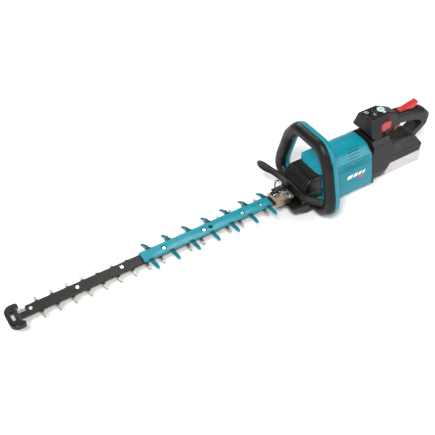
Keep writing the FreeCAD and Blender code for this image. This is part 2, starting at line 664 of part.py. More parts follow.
def motor_housing():
    """Motor housing in two halves that meet at Y = 0, open to the gear case below."""
    outer = prism("shell", "YZ", house_points("0", "house_top"), "house_front",
                  "house_rear+20", [12, 12, 20, 18, 30, 30, 18, 20])
    outer = common("shell_block", rims("shell_rims", outer, "x", 3), nose_plan("shell_plan", "0"))
    inner = prism("shell_room", "YZ", house_points("house_wall", "house_top"),
                  "house_front+house_wall", "house_rear+20", [8, 8, 16, 14, 26, 26, 14, 16])
    inner = common("shell_space", inner, nose_plan("room_plan", "house_wall"))
    nose = nose_wedge("shell_nose", 0)
    seat = [box("shell_seat", "house_front-5", "case_rear+0.3", "-case_half-0.3",
                "case_half+0.3", "-5", "case_top+0.3"),
            box("shell_loop_seat", "house_front-5", "loop_rear+0.3", "-70", "70", "-5",
                "case_top+0.3"),
            box("shell_hood_seat", "house_front-5", "shroud_rear+0.3", "-70", "70", "-5",
                "shroud_top+0.3")]
    port = leaning_rod("shell_port", "-12", "ring_rad-4", "24")
    room = cut("shell_cavity", inner, [nose_wedge("room_nose", 4),
                                       seam_block("room_end", "-house_wall-2", True)])
    shell = cut("shell_cut", outer, [nose, room, port, seam_block("shell_end", "0", True)] + seat)
    right = box("right_half", "house_front-9", "house_rear+29", "0.05", "90", "-9", "200")
    left = box("left_half", "house_front-9", "house_rear+29", "-90", "-0.05", "-9", "200")
    node("motor_housing_left", common("motor_left", shell, left))
    node("motor_housing_right", common("motor_right", shell, right))


def nose_plan(name, inset):
    """Plan outline that rounds the two front corners of the housing, drawn inset."""
    half = "house_half+4-%s" % inset
    return prism(name, "XY", [("house_front+%s" % inset, "-(%s)" % half),
                              ("house_rear+30", "-(%s)" % half), ("house_rear+30", half),
                              ("house_front+%s" % inset, half)],
                 "house_low-10", "house_top+10", [34, 0, 0, 34])


def nose_wedge(name, inset):
    """Slopes the front of the housing off; the inner one leaves a wall behind it."""
    return prism(name, "XZ", [("house_front-5", "shroud_top-1-%d" % inset),
                              ("house_front+60+%d" % (2 * inset), "house_top+5"),
                              ("house_front-5", "house_top+5")], "-70", "70")


def controller():
    """Motor controller in its tray behind the motor."""
    tray = rounded("board_case", "case_rear+14", "case_rear+60", "-34", "34",
                   "house_low+12", "house_low+30", "z", 4)
    return node("controller", tray)


# ---------------------------------------------------------------- front handle
def loop_points(inset):
    half = "loop_half-%s" % inset
    return [("-(%s)+22" % half, "10+%s" % inset), ("%s-22" % half, "10+%s" % inset),
            ("%s+2" % half, "40+%s/2" % inset), (half, "76"),
            ("%s-22" % half, "loop_top-52"), ("%s-48" % half, "loop_top-%s" % inset),
            ("-(%s)+48" % half, "loop_top-%s" % inset), ("-(%s)+22" % half, "loop_top-52"),
            ("-(%s)" % half, "76"), ("-(%s)-2" % half, "40+%s/2" % inset)]


def front_handle():
    """Closed loop over the machine: a dark grip in front and a coloured rear shell."""
    outer = prism("loop_out", "YZ", loop_points("0"), "loop_front", "loop_rear",
                  [16, 16, 24, 60, 60, 34, 34, 60, 60, 24])
    inner = prism("loop_in", "YZ", loop_points("loop_thick"), "loop_front-9", "loop_rear+9",
                  [8, 8, 12, 40, 40, 20, 20, 40, 40, 12])
    band = cut("loop_band", outer, [inner])
    band = rims("loop_rims", band, "x", 10)
    room = box("loop_room", "loop_front-9", "loop_rear+9", "-case_half-0.1", "case_half+0.1",
               "-9", "case_top+30")
    ring_shape = cut("loop_ring", band, [room])
    front = box("loop_front_half", "loop_front-9", "loop_split", "-150", "150", "-9", "300")
    rear = box("loop_rear_half", "loop_split+0.05", "loop_rear+9", "-150", "150", "-9", "300")
    node("front_handle_grip", common("loop_grip", ring_shape, front))
    node("front_handle_shell", common("loop_shell", ring_shape, rear))


def hand_guard():
    """Shield before the front hand: a band across the case that turns back to the
    loop's near leg, with one long paddle swept forward on the other side."""
    near = [("case_front+26", "-46"), ("case_front+40", "-66"), ("loop_front-0.3", "-90"),
            ("loop_front-0.3", "-85"), ("case_front+44", "-62"), ("case_front+30", "-42")]
    far = [("case_front+30", "44"), ("case_front+22", "66"), ("case_front+2", "97"),
           ("case_front-2", "95"), ("case_front+17", "64"), ("case_front+25", "42")]
    plan = prism("shield_plan", "XY", near[::-1] + far[::-1], "bar_top", "case_top+50")
    front = prism("shield_front", "YZ", [
        ("-98", "bar_top+12"), ("-56", "bar_top+5.5"), ("30", "bar_top+5.5"),
        ("60", "bar_top+12"), ("96", "bar_top+29"), ("98", "bar_top+40"),
        ("84", "bar_top+44"), ("40", "bar_top+30"), ("-56", "bar_top+28"),
        ("-98", "bar_top+36")],
        "case_front-20", "loop_front", [4, 20, 20, 30, 5, 5, 8, 30, 20, 4])
    plate = common("shield_plate", plan, front)
    return node("hand_guard", plate)


# ---------------------------------------------------------------- rear handle
def turning_ring():
    """Flanged ring in the housing's rear wall that the rear handle turns on."""
    body = leaning_rod("ring_body", "-8.5", "ring_rad-4-run_gap", "14")
    flange = leaning_rod("ring_flange", "-8.5", "ring_rad+1", "3.3")
    bore = leaning_rod("ring_bore", "-12", "ring_rad-9", "24")
    return node("turning_ring", cut("ring_cut", fuse("ring_solid", [body, flange]), [bore]))


def handle_shape():
    """Outer body of the rear handle, all but its rooms."""
    neck_section = prism("neck", "YZ", [
        ("-neck_half+5", "8"), ("neck_half-5", "8"), ("neck_half", "34"),
        ("neck_half-2", "house_top-25"), ("26", "house_top-1"), ("15", "house_top+4"),
        ("-neck_half+10", "house_top+4"), ("-neck_half", "house_top-9"), ("-neck_half", "34")],
        "house_rear-20", "neck_rear+9", [10, 10, 20, 16, 14, 4, 6, 6, 20])
    neck_side = prism("neck_side", "XZ", [
        ("house_rear-22", "-5"), ("neck_rear-18", "-5"), ("neck_rear-17", "9"),
        ("neck_rear+3", "base_low+8"), ("neck_rear+3", "base_top"),
        ("neck_rear-9", "house_top-8"), ("neck_rear-14", "house_top+12"),
        ("house_rear-22", "house_top+12")], "-60", "60", [0, 0, 4, 8, 8, 6, 0, 0])
    neck = common("neck_body", neck_section, neck_side)
    base_side = prism("base", "XZ", [
        ("neck_rear-20", "base_low"), ("base_rear-4", "base_low"), ("base_rear", "base_top-22"),
        ("base_rear-14", "base_top"), ("neck_rear-20", "base_top+14")],
        "-base_half-9", "base_half+9", [0, 5, 8, 10, 0])
    base_section = prism("base_section", "YZ", [
        ("-base_half", "base_low-9"), ("base_half", "base_low-9"),
        ("base_half", "base_top-17"), ("22", "base_top"), ("12", "base_top+18"),
        ("-12", "base_top+18"), ("-22", "base_top"), ("-base_half", "base_top-17")],
        "neck_rear-30", "base_rear+9", [0, 0, 5, 8, 3, 3, 8, 5])
    base = common("base_body", base_side, base_section)
    head_section = prism("head", "YZ", [
        ("-36", "house_top-2"), ("36", "house_top-2"), ("36", "house_top+8"),
        ("24", "panel_top-5"), ("21", "panel_top"), ("-21", "panel_top"),
        ("-24", "panel_top-5"), ("-36", "house_top+8")],
        "panel_front-10", "panel_front+66", [0, 0, 6, 3, 3, 3, 3, 6])
    head_side = prism("head_side", "XZ", [
        ("panel_front+16", "house_top-2"), ("panel_front", "house_top+14"),
        ("panel_front+2", "panel_top"), ("panel_front+56", "panel_top"),
        ("panel_front+56", "panel_top-14"), ("panel_front+31", "panel_top-18"),
        ("panel_front+31", "house_top-2")], "-60", "60", [0, 5, 4, 6, 3, 3, 0])
    head = common("head_body", head_section, head_side)
    keel = prism("keel", "XZ", [("panel_front+22", "house_top-12"),
                                ("panel_front+22", "panel_top-1"),
                                ("panel_front+60", "panel_top-1"), ("panel_front+96", "164"),
                                ("panel_front+96", "126")],
                 "-grip_half", "grip_half", [0, 0, 14, 20, 0])
    keel = rims("keel_rims", keel, "y", 4)
    grip = prism("grip", "XZ", [("neck_rear-14", "110"), ("neck_rear+10", "164"),
                                ("470", "156"), ("rear_end-22", "139"), ("rear_end", "118"),
                                ("rear_end-4", "88"), ("rear_end-38", "60"),
                                ("neck_rear-10", "60")],
                 "-grip_half", "grip_half", [0, 10, 40, 24, 16, 20, 10, 0])
    grip = rims("grip_rims", grip, "y", 12)
    window = prism("window", "XZ", [("neck_rear+10", "base_top+8"), ("neck_rear+8", "118"),
                                    ("neck_rear+18", "129"), ("neck_rear+46", "131"),
                                    ("rear_end-57", "122.5"), ("rear_end-35", "113"),
                                    ("rear_end-26", "102"), ("rear_end-58", "base_top+2"),
                                    ("neck_rear+44", "base_top+3")],
                   "-60", "60", [4, 6, 5, 12, 30, 6, 6, 8, 10])
    whole = fuse("handle_outer", [neck, base, head, keel, cut("grip_cut", grip, [window])])
    return cut("handle_body", whole, [seam_block("handle_seam", "turn_gap", False)])


HANDLE_SCREWS = [("neck_rear+27", "grip_half", "151"), ("rear_end-15", "grip_half", "122"),
                 ("rear_end-41", "grip_half", "73"), ("neck_rear+40", "base_half", "51"),
                 ("base_rear-22", "base_half", "51")]


def handle_halves():
    """Rear handle in two halves, hollow for the switch, battery rails and wiring."""
    shape = handle_shape()
    rooms = [
        rounded("neck_room", "house_rear+17", "neck_rear-13", "-neck_half+7",
                "neck_half-7", "24", "house_top-14", "x", 8),
        rounded("base_room", "neck_rear-15", "base_rear-8", "-base_half+4", "base_half-4",
                "base_low+6", "base_top-19", "x", 5),
        box("base_loft", "neck_rear-15", "base_rear-16", "-17", "17", "base_low+12",
            "base_top-5"),
        box("switch_room", "neck_rear+20", "480", "-9", "9", "119", "146"),
        box("trigger_slot", "neck_rear+20", "neck_rear+62", "-7.6", "7.6", "112", "122"),
        box("lever_slot", "neck_rear+44", "512", "-7.6", "7.6", "140", "170"),
        leaning_rod("ring_hole", "0", "ring_rad-4", "20"),
        box("head_room", "panel_front+6", "panel_front+28", "-14", "14", "122", "172"),
        box("rail_slot", "neck_rear-2", "base_rear+9", "-25.4", "25.4", "base_low-5",
            "base_low+5"),
        box("release_slot", "neck_rear-8", "neck_rear+10", "-60", "60", "136", "148"),
        rod("trigger_pin_hole", "y", "neck_rear+38", "-12", "125", "1.5", "24"),
        rod("lever_pin_hole", "y", "neck_rear+52", "-12", "151", "1.5", "24"),
        rod("power_hole", "z", "panel_front+49", "1", "panel_top-6", "6.6", "20"),
        rod("reverse_hole", "z", "panel_front+24", "-7", "panel_top-6", "4.1", "20"),
    ]
    rooms += [rod("handle_screw_hole", "y", x, "-60", z, "3.3", "60-(%s)+2.4" % y)
              for x, y, z in HANDLE_SCREWS]
    rooms += [rod("handle_shank_hole", "y", x, "-(%s)" % y, z, "1.6", "12")
              for x, y, z in HANDLE_SCREWS]
    shell = cut("handle_cut", shape, rooms)
    right = box("handle_right_half", "300", "600", "0.05", "90", "-9", "300")
    left = box("handle_left_half", "300", "600", "-90", "-0.05", "-9", "300")
    node("rear_handle_left", common("handle_left", shell, left))
    node("rear_handle_right", common("handle_right", shell, right))
    screws = []
    for x, y, z in HANDLE_SCREWS:
        head = rod("handle_screw_head", "y", x, "-(%s)+0.4" % y, z, "3.2", "2")
        shank = rod("handle_screw_shank", "y", x, "-(%s)+2.4" % y, z, "1.55", "9")
        screws.append(fuse("handle_screw", [head, shank]))
    node("handle_screws", group("handle_screw_set", screws))


def control_panel():
    """Raised keypad plate on the head, with the power and reverse buttons."""
    plate = rounded("keypad", "panel_front+5", "panel_front+55.9", "-16", "16", "panel_top",
                    "panel_top+1.6", "z", 4)
    plate = rims("keypad_rim", plate, "z", 0.8, (False, True))
    holes = [rod("keypad_power", "z", "panel_front+49", "1", "panel_top-5", "6.6", "20"),
             rod("keypad_reverse", "z", "panel_front+24", "-7", "panel_top-5", "4.1", "20"),
             box("keypad_lens", "panel_front+46", "panel_front+54", "-13.6", "-9.4",
                 "panel_top+0.4", "panel_top+9")]
    node("control_panel", cut("keypad_cut", plate, holes))
    power = rod("power_cap", "z", "panel_front+49", "1", "panel_top-3", "6.5", "5.6")
    node("power_button", rims("power_cap_rim", power, "z", 0.8, (False, True)))
    reverse = rod("reverse_cap", "z", "panel_front+24", "-7", "panel_top-3", "4", "5.6")
    node("reverse_button", rims("reverse_cap_rim", reverse, "z", 0.8, (False, True)))
    node("indicator_lens", box("lens", "panel_front+46.1", "panel_front+53.9", "-13.5", "-9.5",
                               "panel_top+0.5", "panel_top+2"))


def switches():
    """Trigger, lock-off lever and release lever, with the switch they work."""
    trigger = prism("trigger_side", "XZ", [
        ("neck_rear+34", "129"), ("neck_rear+60", "127"), ("neck_rear+58", "117"),
        ("neck_rear+50", "108"), ("neck_rear+40", "103"), ("neck_rear+36", "105"),
        ("neck_rear+38", "113"), ("neck_rear+34", "119")], "-7", "7",
        [2, 2, 6, 12, 2, 2, 6, 3])
    trigger = rims("trigger_rims", trigger, "y", 1.6)
    node("switch_trigger", cut("trigger", trigger, [
        rod("trigger_pin_bore", "y", "neck_rear+38", "-12", "125", "1.5+run_gap", "24")]))
    lever = prism("lever_side", "XZ", [
        ("neck_rear+47", "147.5"), ("neck_rear+45.5", "155"), ("neck_rear+50", "158.5"),
        ("neck_rear+100", "169"), ("neck_rear+103", "166"), ("neck_rear+101", "155"),
        ("neck_rear+78", "147.5")], "-7", "7", [2, 2, 5, 2, 2, 3, 10])
    lever = rims("lever_rims", lever, "y", 1.6)
    node("lock_off_lever", cut("lever", lever, [
        rod("lever_pin_bore", "y", "neck_rear+52", "-12", "151", "1.5+run_gap", "24")]))
    node("switch_pins", group("switch_pin_set", [
        rod("trigger_pin", "y", "neck_rear+38", "-12", "125", "1.45", "24"),
        rod("lever_pin", "y", "neck_rear+52", "-12", "151", "1.45", "24")]))
    node("switch_module", box("switch_box", "neck_rear+38", "neck_rear+66", "-8", "8",
                              "133.5", "143"))
    cheeks = [prism("release_cheek", "XZ", [
        ("neck_rear-30.5", "133"), ("neck_rear-15", "133"), ("neck_rear-4", "138"),
        ("neck_rear+5", "138"), ("neck_rear+5", "158"), ("neck_rear-19", "162"),
        ("neck_rear-30.5", "154")], y0, y1, [2, 3, 4, 3, 4, 4, 3])
              for y0, y1 in (("grip_half+0.4", "grip_half+7"), ("-grip_half-7", "-grip_half-0.4"))]
    cheeks = [rims("release_rim", cheek, "y", 1.2) for cheek in cheeks]
    bar = box("release_bar", "neck_rear-7.5", "neck_rear+1.5", "-grip_half-2", "grip_half+2",
              "136.5", "147.5")
    node("release_lever", fuse("release", cheeks + [bar]))


def battery():
    """Battery on rails under the rear handle, with its latch and its cells."""
    shell = rounded("pack", "neck_rear+2.5", "base_rear+4", "-battery_half", "battery_half",
                    "battery_low", "base_low-0.5", "x", 6, 3)
    rail = box("pack_rail", "neck_rear+14", "base_rear-4", "-25", "25", "base_low-6",
               "base_low+4.4")
    room = box("pack_room", "neck_rear+5.5", "base_rear-5", "-battery_half+3.5",
               "battery_half-3.5", "battery_low+3.5", "base_low-9.5")
    latch_room = box("latch_room", "base_rear-3", "base_rear+9", "-12.3", "12.3",
                     "battery_low+9", "base_low-4")
    terminals = [box("pack_terminal", "neck_rear+10", "neck_rear+34", y, "%s+3" % y,
                     "base_low-1", "base_low+9") for y in ("-18", "-1.5", "15")]
    node("battery_case", cut("pack_cut", fuse("pack_body", [shell, rail]),
                             [room, latch_room] + terminals))
    cells = [rod("cell", "y", "neck_rear+16+%s*20.1" % i, "-battery_half+4",
                 "battery_low+14.5", "10", "2*battery_half-8") for i in range(5)]
    node("battery_cells", group("cell_set", cells))
    latch = rounded("latch", "base_rear-2.8", "base_rear+5.5", "-12", "12",
                    "battery_low+14", "base_low-4.5", "x", 2.5, 1)
    node("battery_latch", latch)
    node("terminal_block", fuse("terminals", [
        box("terminal_base", "neck_rear-1.9", "neck_rear+9", "-22", "22", "base_low+0.3",
            "base_low+4.9")] + [
        box("terminal_blade", "neck_rear+8", "neck_rear+26", y, "%s+1" % y, "base_low+0.6",
            "base_low+4.3") for y in ("-17", "-0.5", "16")]))


def build_all():
    guide_bar()
    blade("upper_blade", UPPER_LOW, "crank_x-78")
    blade("lower_blade", LOWER_LOW, "crank_x-78")
    bolt_stack()
    tip_guard()
    finger_guard()
    blade_bracket()
    bracket_bolts()
    gear_case()
    gear_cover()
    case_shroud()
    case_screws()
    crank_train()
    motor()
    motor_housing()
    controller()
    front_handle()
    hand_guard()
    turning_ring()
    handle_halves()
    control_panel()
    switches()
    battery()


def check_and_write():
    """Refuses a failed object or shape, then writes one file per piece."""
    DOC.recompute()
    failed = [obj.Label for obj in DOC.Objects if set(obj.State) & {"Invalid", "Error"}]
    if failed:
        raise RuntimeError("these objects failed: %s" % ", ".join(failed))
    for label, obj in NODES:
        if obj.Shape.isNull() or not obj.Shape.isValid() or obj.Shape.Volume <= 0:
            raise RuntimeError("%s has no valid shape" % label)
    os.makedirs("parts", exist_ok=True)
    for label, obj in NODES:
        obj.Shape.exportStep(os.path.join("parts", label + ".step"))
        bounds = obj.Shape.BoundBox
        print("%-22s solids %2d  volume %9.0f  x %7.1f %7.1f  y %7.1f %7.1f  z %6.1f %6.1f" % (
            label, len(obj.Shape.Solids), obj.Shape.Volume, bounds.XMin, bounds.XMax,
            bounds.YMin, bounds.YMax, bounds.ZMin, bounds.ZMax))


build_all()
check_and_write()
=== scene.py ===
"""Cordless hedge trimmer: materials, detail pieces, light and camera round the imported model."""
import bpy
import bmesh
import math
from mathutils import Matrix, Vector


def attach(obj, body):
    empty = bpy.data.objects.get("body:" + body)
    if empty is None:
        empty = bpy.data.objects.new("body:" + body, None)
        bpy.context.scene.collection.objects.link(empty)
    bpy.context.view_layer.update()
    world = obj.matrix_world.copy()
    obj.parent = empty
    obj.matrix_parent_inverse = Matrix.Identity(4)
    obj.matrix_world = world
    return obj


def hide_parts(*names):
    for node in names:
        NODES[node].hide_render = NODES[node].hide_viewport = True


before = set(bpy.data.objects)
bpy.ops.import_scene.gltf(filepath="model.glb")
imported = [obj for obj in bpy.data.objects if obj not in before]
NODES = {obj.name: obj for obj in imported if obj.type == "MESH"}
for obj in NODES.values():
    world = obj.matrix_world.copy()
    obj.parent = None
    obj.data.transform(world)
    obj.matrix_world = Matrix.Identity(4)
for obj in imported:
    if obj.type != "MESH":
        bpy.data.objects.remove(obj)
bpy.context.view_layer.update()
MM = 0.001
FRAME_BODY = "frame"
HANDLE_BODY = "rear_handle"
SIDES = ((-1, "near"), (1, "far"))
ROUGH_SWING = 0.08


# ---------------------------------------------------------------- colours and materials
def shade(red, green, blue):
    """A display colour, 0 to 255, as linear light with full alpha."""
    def linear(v):
        v = v / 255
        return v / 12.92 if v <= 0.04045 else ((v + 0.055) / 1.055) ** 2.4
    return (linear(red), linear(green), linear(blue), 1.0)


def scaled(colour, factor):
    return tuple(min(1.0, c * factor) for c in colour[:3]) + (1.0,)


class Nodes:
    """Adds shader nodes to one material and links them."""

    def __init__(self, name):
        self.material = bpy.data.materials.new(name)
        self.material.use_nodes = True
        self.tree = self.material.node_tree
        self.shader = self.tree.nodes["Principled BSDF"]

    def add(self, kind, **settings):
        made = self.tree.nodes.new(kind)
        for key, setting in settings.items():
            setattr(made, key, setting)
        return made

    def link(self, source, target):
        self.tree.links.new(source, target)

    def coordinates(self, stretch=(1, 1, 1)):
        where = self.add("ShaderNodeTexCoord")
        mapping = self.add("ShaderNodeMapping")
        mapping.inputs["Scale"].default_value = stretch
        self.link(where.outputs["Object"], mapping.inputs["Vector"])
        return mapping.outputs["Vector"]

    def noise(self, where, size, detail=3.0, rough=0.55):
        made = self.add("ShaderNodeTexNoise")
        made.inputs["Scale"].default_value = 1.0 / size
        made.inputs["Detail"].default_value = detail
        made.inputs["Roughness"].default_value = rough
        self.link(where, made.inputs["Vector"])
        return made.outputs["Fac"]

    def spread(self, source, low, high, to_low, to_high):
        made = self.add("ShaderNodeMapRange")
        made.inputs["From Min"].default_value = low
        made.inputs["From Max"].default_value = high
        made.inputs["To Min"].default_value = to_low
        made.inputs["To Max"].default_value = to_high
        self.link(source, made.inputs["Value"])
        return made.outputs["Result"]

    def mix(self, factor, first, second):
        made = self.add("ShaderNodeMix", data_type="RGBA")
        self.link(factor, made.inputs[0])
        for value, socket in ((first, made.inputs[6]), (second, made.inputs[7])):
            if isinstance(value, tuple):
                socket.default_value = value
            else:
                self.link(value, socket)
        return made.outputs[2]

    def maths(self, operation, first, second):
        made = self.add("ShaderNodeMath", operation=operation)
        for value, socket in ((first, made.inputs[0]), (second, made.inputs[1])):
            if isinstance(value, (int, float)):
                socket.default_value = value
            else:
                self.link(value, socket)
        return made.outputs[0]


def surface(name, colour, rough, patch=0.03, mottle=0.07, grain=0.0006, bump=0.2,
            metal=0.0, specular=0.5, coat=0.0, coat_rough=0.1, edge=None, edge_amount=0.5,
            rounding=0.0006, stretch=(1, 1, 1), streak=0.0, dots=False):
    """A material with soft colour patches, a moulded or brushed grain, a roughness that
    varies, rounded-looking edges, and convex edges painted lighter, partly as wear
    and partly as a painted highlight."""
    made = Nodes(name)
    shader = made.shader
    where = made.coordinates(stretch)
    patches = made.noise(where, patch, 4.0)
    mixed = made.mix(made.spread(patches, 0.32, 0.68, 0, 1),
                     scaled(colour, 1 - mottle), scaled(colour, 1 + mottle))
    if streak:
        lines = made.noise(made.coordinates((0.06, 1, 1)), 0.0016, 2.0)
        mixed = made.mix(made.spread(lines, 0.35, 0.65, 0, 1), mixed,
                         scaled(colour, 1 - streak))
    bevel = made.add("ShaderNodeBevel", samples=4)
    bevel.inputs["Radius"].default_value = rounding
    # Convex edges get the lighter edge colour: partly wear, partly a painted highlight.
    if edge is not None:
        flat = made.add("ShaderNodeNewGeometry")
        wide = made.add("ShaderNodeBevel", samples=4)
        wide.inputs["Radius"].default_value = rounding * 1.6
        dot = made.add("ShaderNodeVectorMath", operation="DOT_PRODUCT")
        made.link(flat.outputs["Normal"], dot.inputs[0])
        made.link(wide.outputs["Normal"], dot.inputs[1])
        edge_wear_and_highlight_mask = made.spread(dot.outputs["Value"], 0.985, 0.86, 0.0, edge_amount)
        wear_and_highlight_breakup = made.spread(made.noise(where, 0.006, 5.0, 0.7), 0.4, 0.62, 0.25, 1.0)
        mixed = made.mix(made.maths("MULTIPLY", edge_wear_and_highlight_mask, wear_and_highlight_breakup), mixed, edge)
    made.link(mixed, shader.inputs["Base Color"])
    swing = made.noise(where, patch * 0.45, 5.0, 0.65)
    made.link(made.spread(swing, 0.3, 0.7, max(0.02, rough - ROUGH_SWING),
                          min(1.0, rough + ROUGH_SWING)), shader.inputs["Roughness"])
    if dots:
        texture = made.add("ShaderNodeTexVoronoi")
        texture.inputs["Scale"].default_value = 1.0 / grain
        made.link(where, texture.inputs["Vector"])
        height = made.spread(texture.outputs["Distance"], 0.0, 0.6, 1.0, 0.0)
    else:
        height = made.noise(where, grain, 3.0, 0.6)
    lift = made.add("ShaderNodeBump")
    lift.inputs["Strength"].default_value = bump
    lift.inputs["Distance"].default_value = grain * 0.5
    made.link(height, lift.inputs["Height"])
    made.link(bevel.outputs["Normal"], lift.inputs["Normal"])
    made.link(lift.outputs["Normal"], shader.inputs["Normal"])
    shader.inputs["Metallic"].default_value = metal
    shader.inputs["Specular IOR Level"].default_value = specular
    shader.inputs["Coat Weight"].default_value = coat
    shader.inputs["Coat Roughness"].default_value = coat_rough
    return made.material


TEAL = shade(0, 132, 149)
# Each look's edge colour is painted on its convex edges, partly as wear and partly as a painted
# highlight.
LOOKS = {
    "teal": surface("moulded_teal", TEAL, 0.36, patch=0.05, mottle=0.05, grain=0.0005,
                    bump=0.10, specular=0.32, coat=0.12, coat_rough=0.16,
                    edge=shade(120, 215, 224), edge_amount=0.4, rounding=0.0011),
    "teal_comb": surface("comb_teal", shade(0, 130, 147), 0.42, patch=0.05, mottle=0.08,
                         grain=0.0006, bump=0.16, specular=0.3, coat=0.05,
                         edge=shade(110, 205, 215), edge_amount=0.35, rounding=0.0007),
    # A darker teal painted as shade between the shoulder rails and along the comb's fingers.
    "teal_deep": surface("painted_shade_teal", shade(0, 92, 102), 0.45, patch=0.02, mottle=0.1,
                         grain=0.0005, bump=0.15, specular=0.3, rounding=0.0005),
    "black": surface("moulded_black", shade(17, 16, 16), 0.3, patch=0.03, mottle=0.12,
                     grain=0.0005, bump=0.16, specular=0.36, edge=shade(120, 116, 116),
                     edge_amount=0.5, rounding=0.0012),
    "dark": surface("moulded_dark", shade(27, 24, 24), 0.38, patch=0.03, mottle=0.1,
                    grain=0.0007, bump=0.3, specular=0.3, edge=shade(120, 114, 112),
                    edge_amount=0.4, rounding=0.0009),
    "rubber": surface("soft_rubber", shade(14, 13, 13), 0.4, patch=0.02, mottle=0.1,
                      grain=0.0009, bump=0.3, dots=True, specular=0.32,
                      rounding=0.0008),
    "bar": surface("coated_bar", shade(20, 18, 18), 0.5, patch=0.02, mottle=0.3,
                   grain=0.0008, bump=0.3, specular=0.3,
                   edge=shade(130, 126, 122), edge_amount=0.5, rounding=0.0005,
                   streak=0.3),
    "blade": surface("ground_steel", shade(158, 150, 142), 0.36, patch=0.015, mottle=0.14,
                     grain=0.0005, bump=0.15, metal=0.75, edge=shade(225, 220, 212),
                     edge_amount=0.5, rounding=0.0004, streak=0.2, stretch=(1, 0.15, 1)),
    "zinc": surface("plated_steel", shade(222, 222, 220), 0.26, patch=0.004, mottle=0.08,
                    grain=0.0004, bump=0.12, metal=1.0, edge=shade(250, 250, 250),
                    edge_amount=0.5, rounding=0.0004),
    "bracket": surface("bare_steel", shade(172, 156, 140), 0.36, patch=0.012, mottle=0.16,
                       grain=0.0006, bump=0.2, metal=0.9, edge=shade(235, 228, 220),
                       edge_amount=0.6, rounding=0.0006, streak=0.22),
    "cast": surface("cast_black", shade(18, 18, 18), 0.42, patch=0.02, mottle=0.15,
                    grain=0.0012, bump=0.35, edge=shade(90, 90, 90), edge_amount=0.4,
                    rounding=0.0010),
    "gear": surface("machined_steel", shade(150, 150, 150), 0.35, patch=0.01, mottle=0.1,
                    grain=0.0004, bump=0.15, metal=1.0, rounding=0.0003, streak=0.1),
    "copper": surface("wound_stator", shade(120, 80, 52), 0.4, patch=0.01, mottle=0.15,
                      grain=0.0008, bump=0.4, metal=0.6, rounding=0.0003),
    "red": surface("lever_red", shade(196, 22, 26), 0.34, patch=0.02, mottle=0.06,
                   grain=0.0005, bump=0.12, coat=0.2, edge=shade(250, 120, 110),
                   edge_amount=0.35, rounding=0.0008),
    # The trigger's red is the lever red painted darker, as the shade under the handle's grip.
    "trigger": surface("trigger_red", shade(140, 20, 24), 0.4, patch=0.02, mottle=0.08,
                       grain=0.0006, bump=0.2, coat=0.1, edge=shade(215, 90, 88),
                       edge_amount=0.35, rounding=0.0008),
    "battery": surface("battery_grey", shade(205, 201, 200), 0.45, patch=0.02, mottle=0.05,
                       grain=0.0006, bump=0.2, edge=shade(235, 232, 230), edge_amount=0.4,
                       rounding=0.0009),
    "cell": surface("cell_wrap", shade(70, 110, 160), 0.3, patch=0.01, mottle=0.06,
                    grain=0.0005, bump=0.1, rounding=0.0003),
    "board": surface("cast_tray", shade(150, 152, 154), 0.45, patch=0.01, mottle=0.08,
                     grain=0.0007, bump=0.2, metal=0.8, rounding=0.0004),
    "button": surface("button_blue", shade(150, 200, 214), 0.3, patch=0.004, mottle=0.08,
                      grain=0.0003, bump=0.1, coat=0.4, edge=shade(230, 245, 250),
                      edge_amount=0.5, rounding=0.0005),
    "grey": surface("button_grey", shade(120, 122, 124), 0.35, patch=0.004, mottle=0.08,
                    grain=0.0003, bump=0.1, rounding=0.0004),
    "lens": surface("lamp_lens", shade(214, 226, 222), 0.2, patch=0.003, mottle=0.05,
                    grain=0.0003, bump=0.05, coat=0.5, rounding=0.0003),
    "white": surface("printed_white", shade(232, 234, 234), 0.45, patch=0.004, mottle=0.05,
                     grain=0.0003, bump=0.08, rounding=0.0002),
    "pink": surface("printed_red", shade(214, 60, 92), 0.45, patch=0.004, mottle=0.06,
                    grain=0.0003, bump=0.08, rounding=0.0002),
    # Near-black: the seam band's own colour, and painted shade on the vents, slots and comb ribs.
    "seam": surface("dark_seam_and_painted_shade", shade(12, 12, 13), 0.6, patch=0.01, mottle=0.15,
                    grain=0.0005, bump=0.2, rounding=0.0004),
}
NODE_LOOKS = {
    "teal": ("motor_housing_left", "motor_housing_right", "front_handle_shell"),
    "teal_comb": ("finger_guard",),
    "black": ("tip_guard", "hand_guard", "case_shroud", "turning_ring", "cooling_fan",
              "control_panel", "switch_module", "terminal_block"),
    "dark": ("rear_handle_left", "rear_handle_right"),
    "rubber": ("front_handle_grip", "case_feet"),
    "bar": ("guide_bar",),
    "blade": ("upper_blade", "lower_blade"),
    "zinc": ("guide_bolts", "guide_sleeves", "guide_washers", "guide_nuts",
             "bracket_bolts", "switch_pins"),
    "bracket": ("blade_bracket",),
    "cast": ("gear_case", "gear_cover", "handle_screws"),
    "gear": ("crank_gear", "upper_rod", "lower_rod", "crank_bearings", "rotor_shaft",
             "rotor", "motor_bearings"),
    "copper": ("stator",),
    "red": ("release_lever", "lock_off_lever"),
    "trigger": ("switch_trigger",),
    "battery": ("battery_case", "battery_latch"),
    "cell": ("battery_cells",),
    "board": ("controller",),
    "button": ("power_button",),
    "grey": ("reverse_button",),
    "lens": ("indicator_lens",),
}


def dress(obj, look):
    """Puts one look on every slot of an object."""
    material = LOOKS[look]
    if not obj.data.materials:
        obj.data.materials.append(material)
    for i in range(len(obj.data.materials)):
        obj.data.materials[i] = material


for look, names in NODE_LOOKS.items():
    for name in names:
        dress(NODES[name], look)


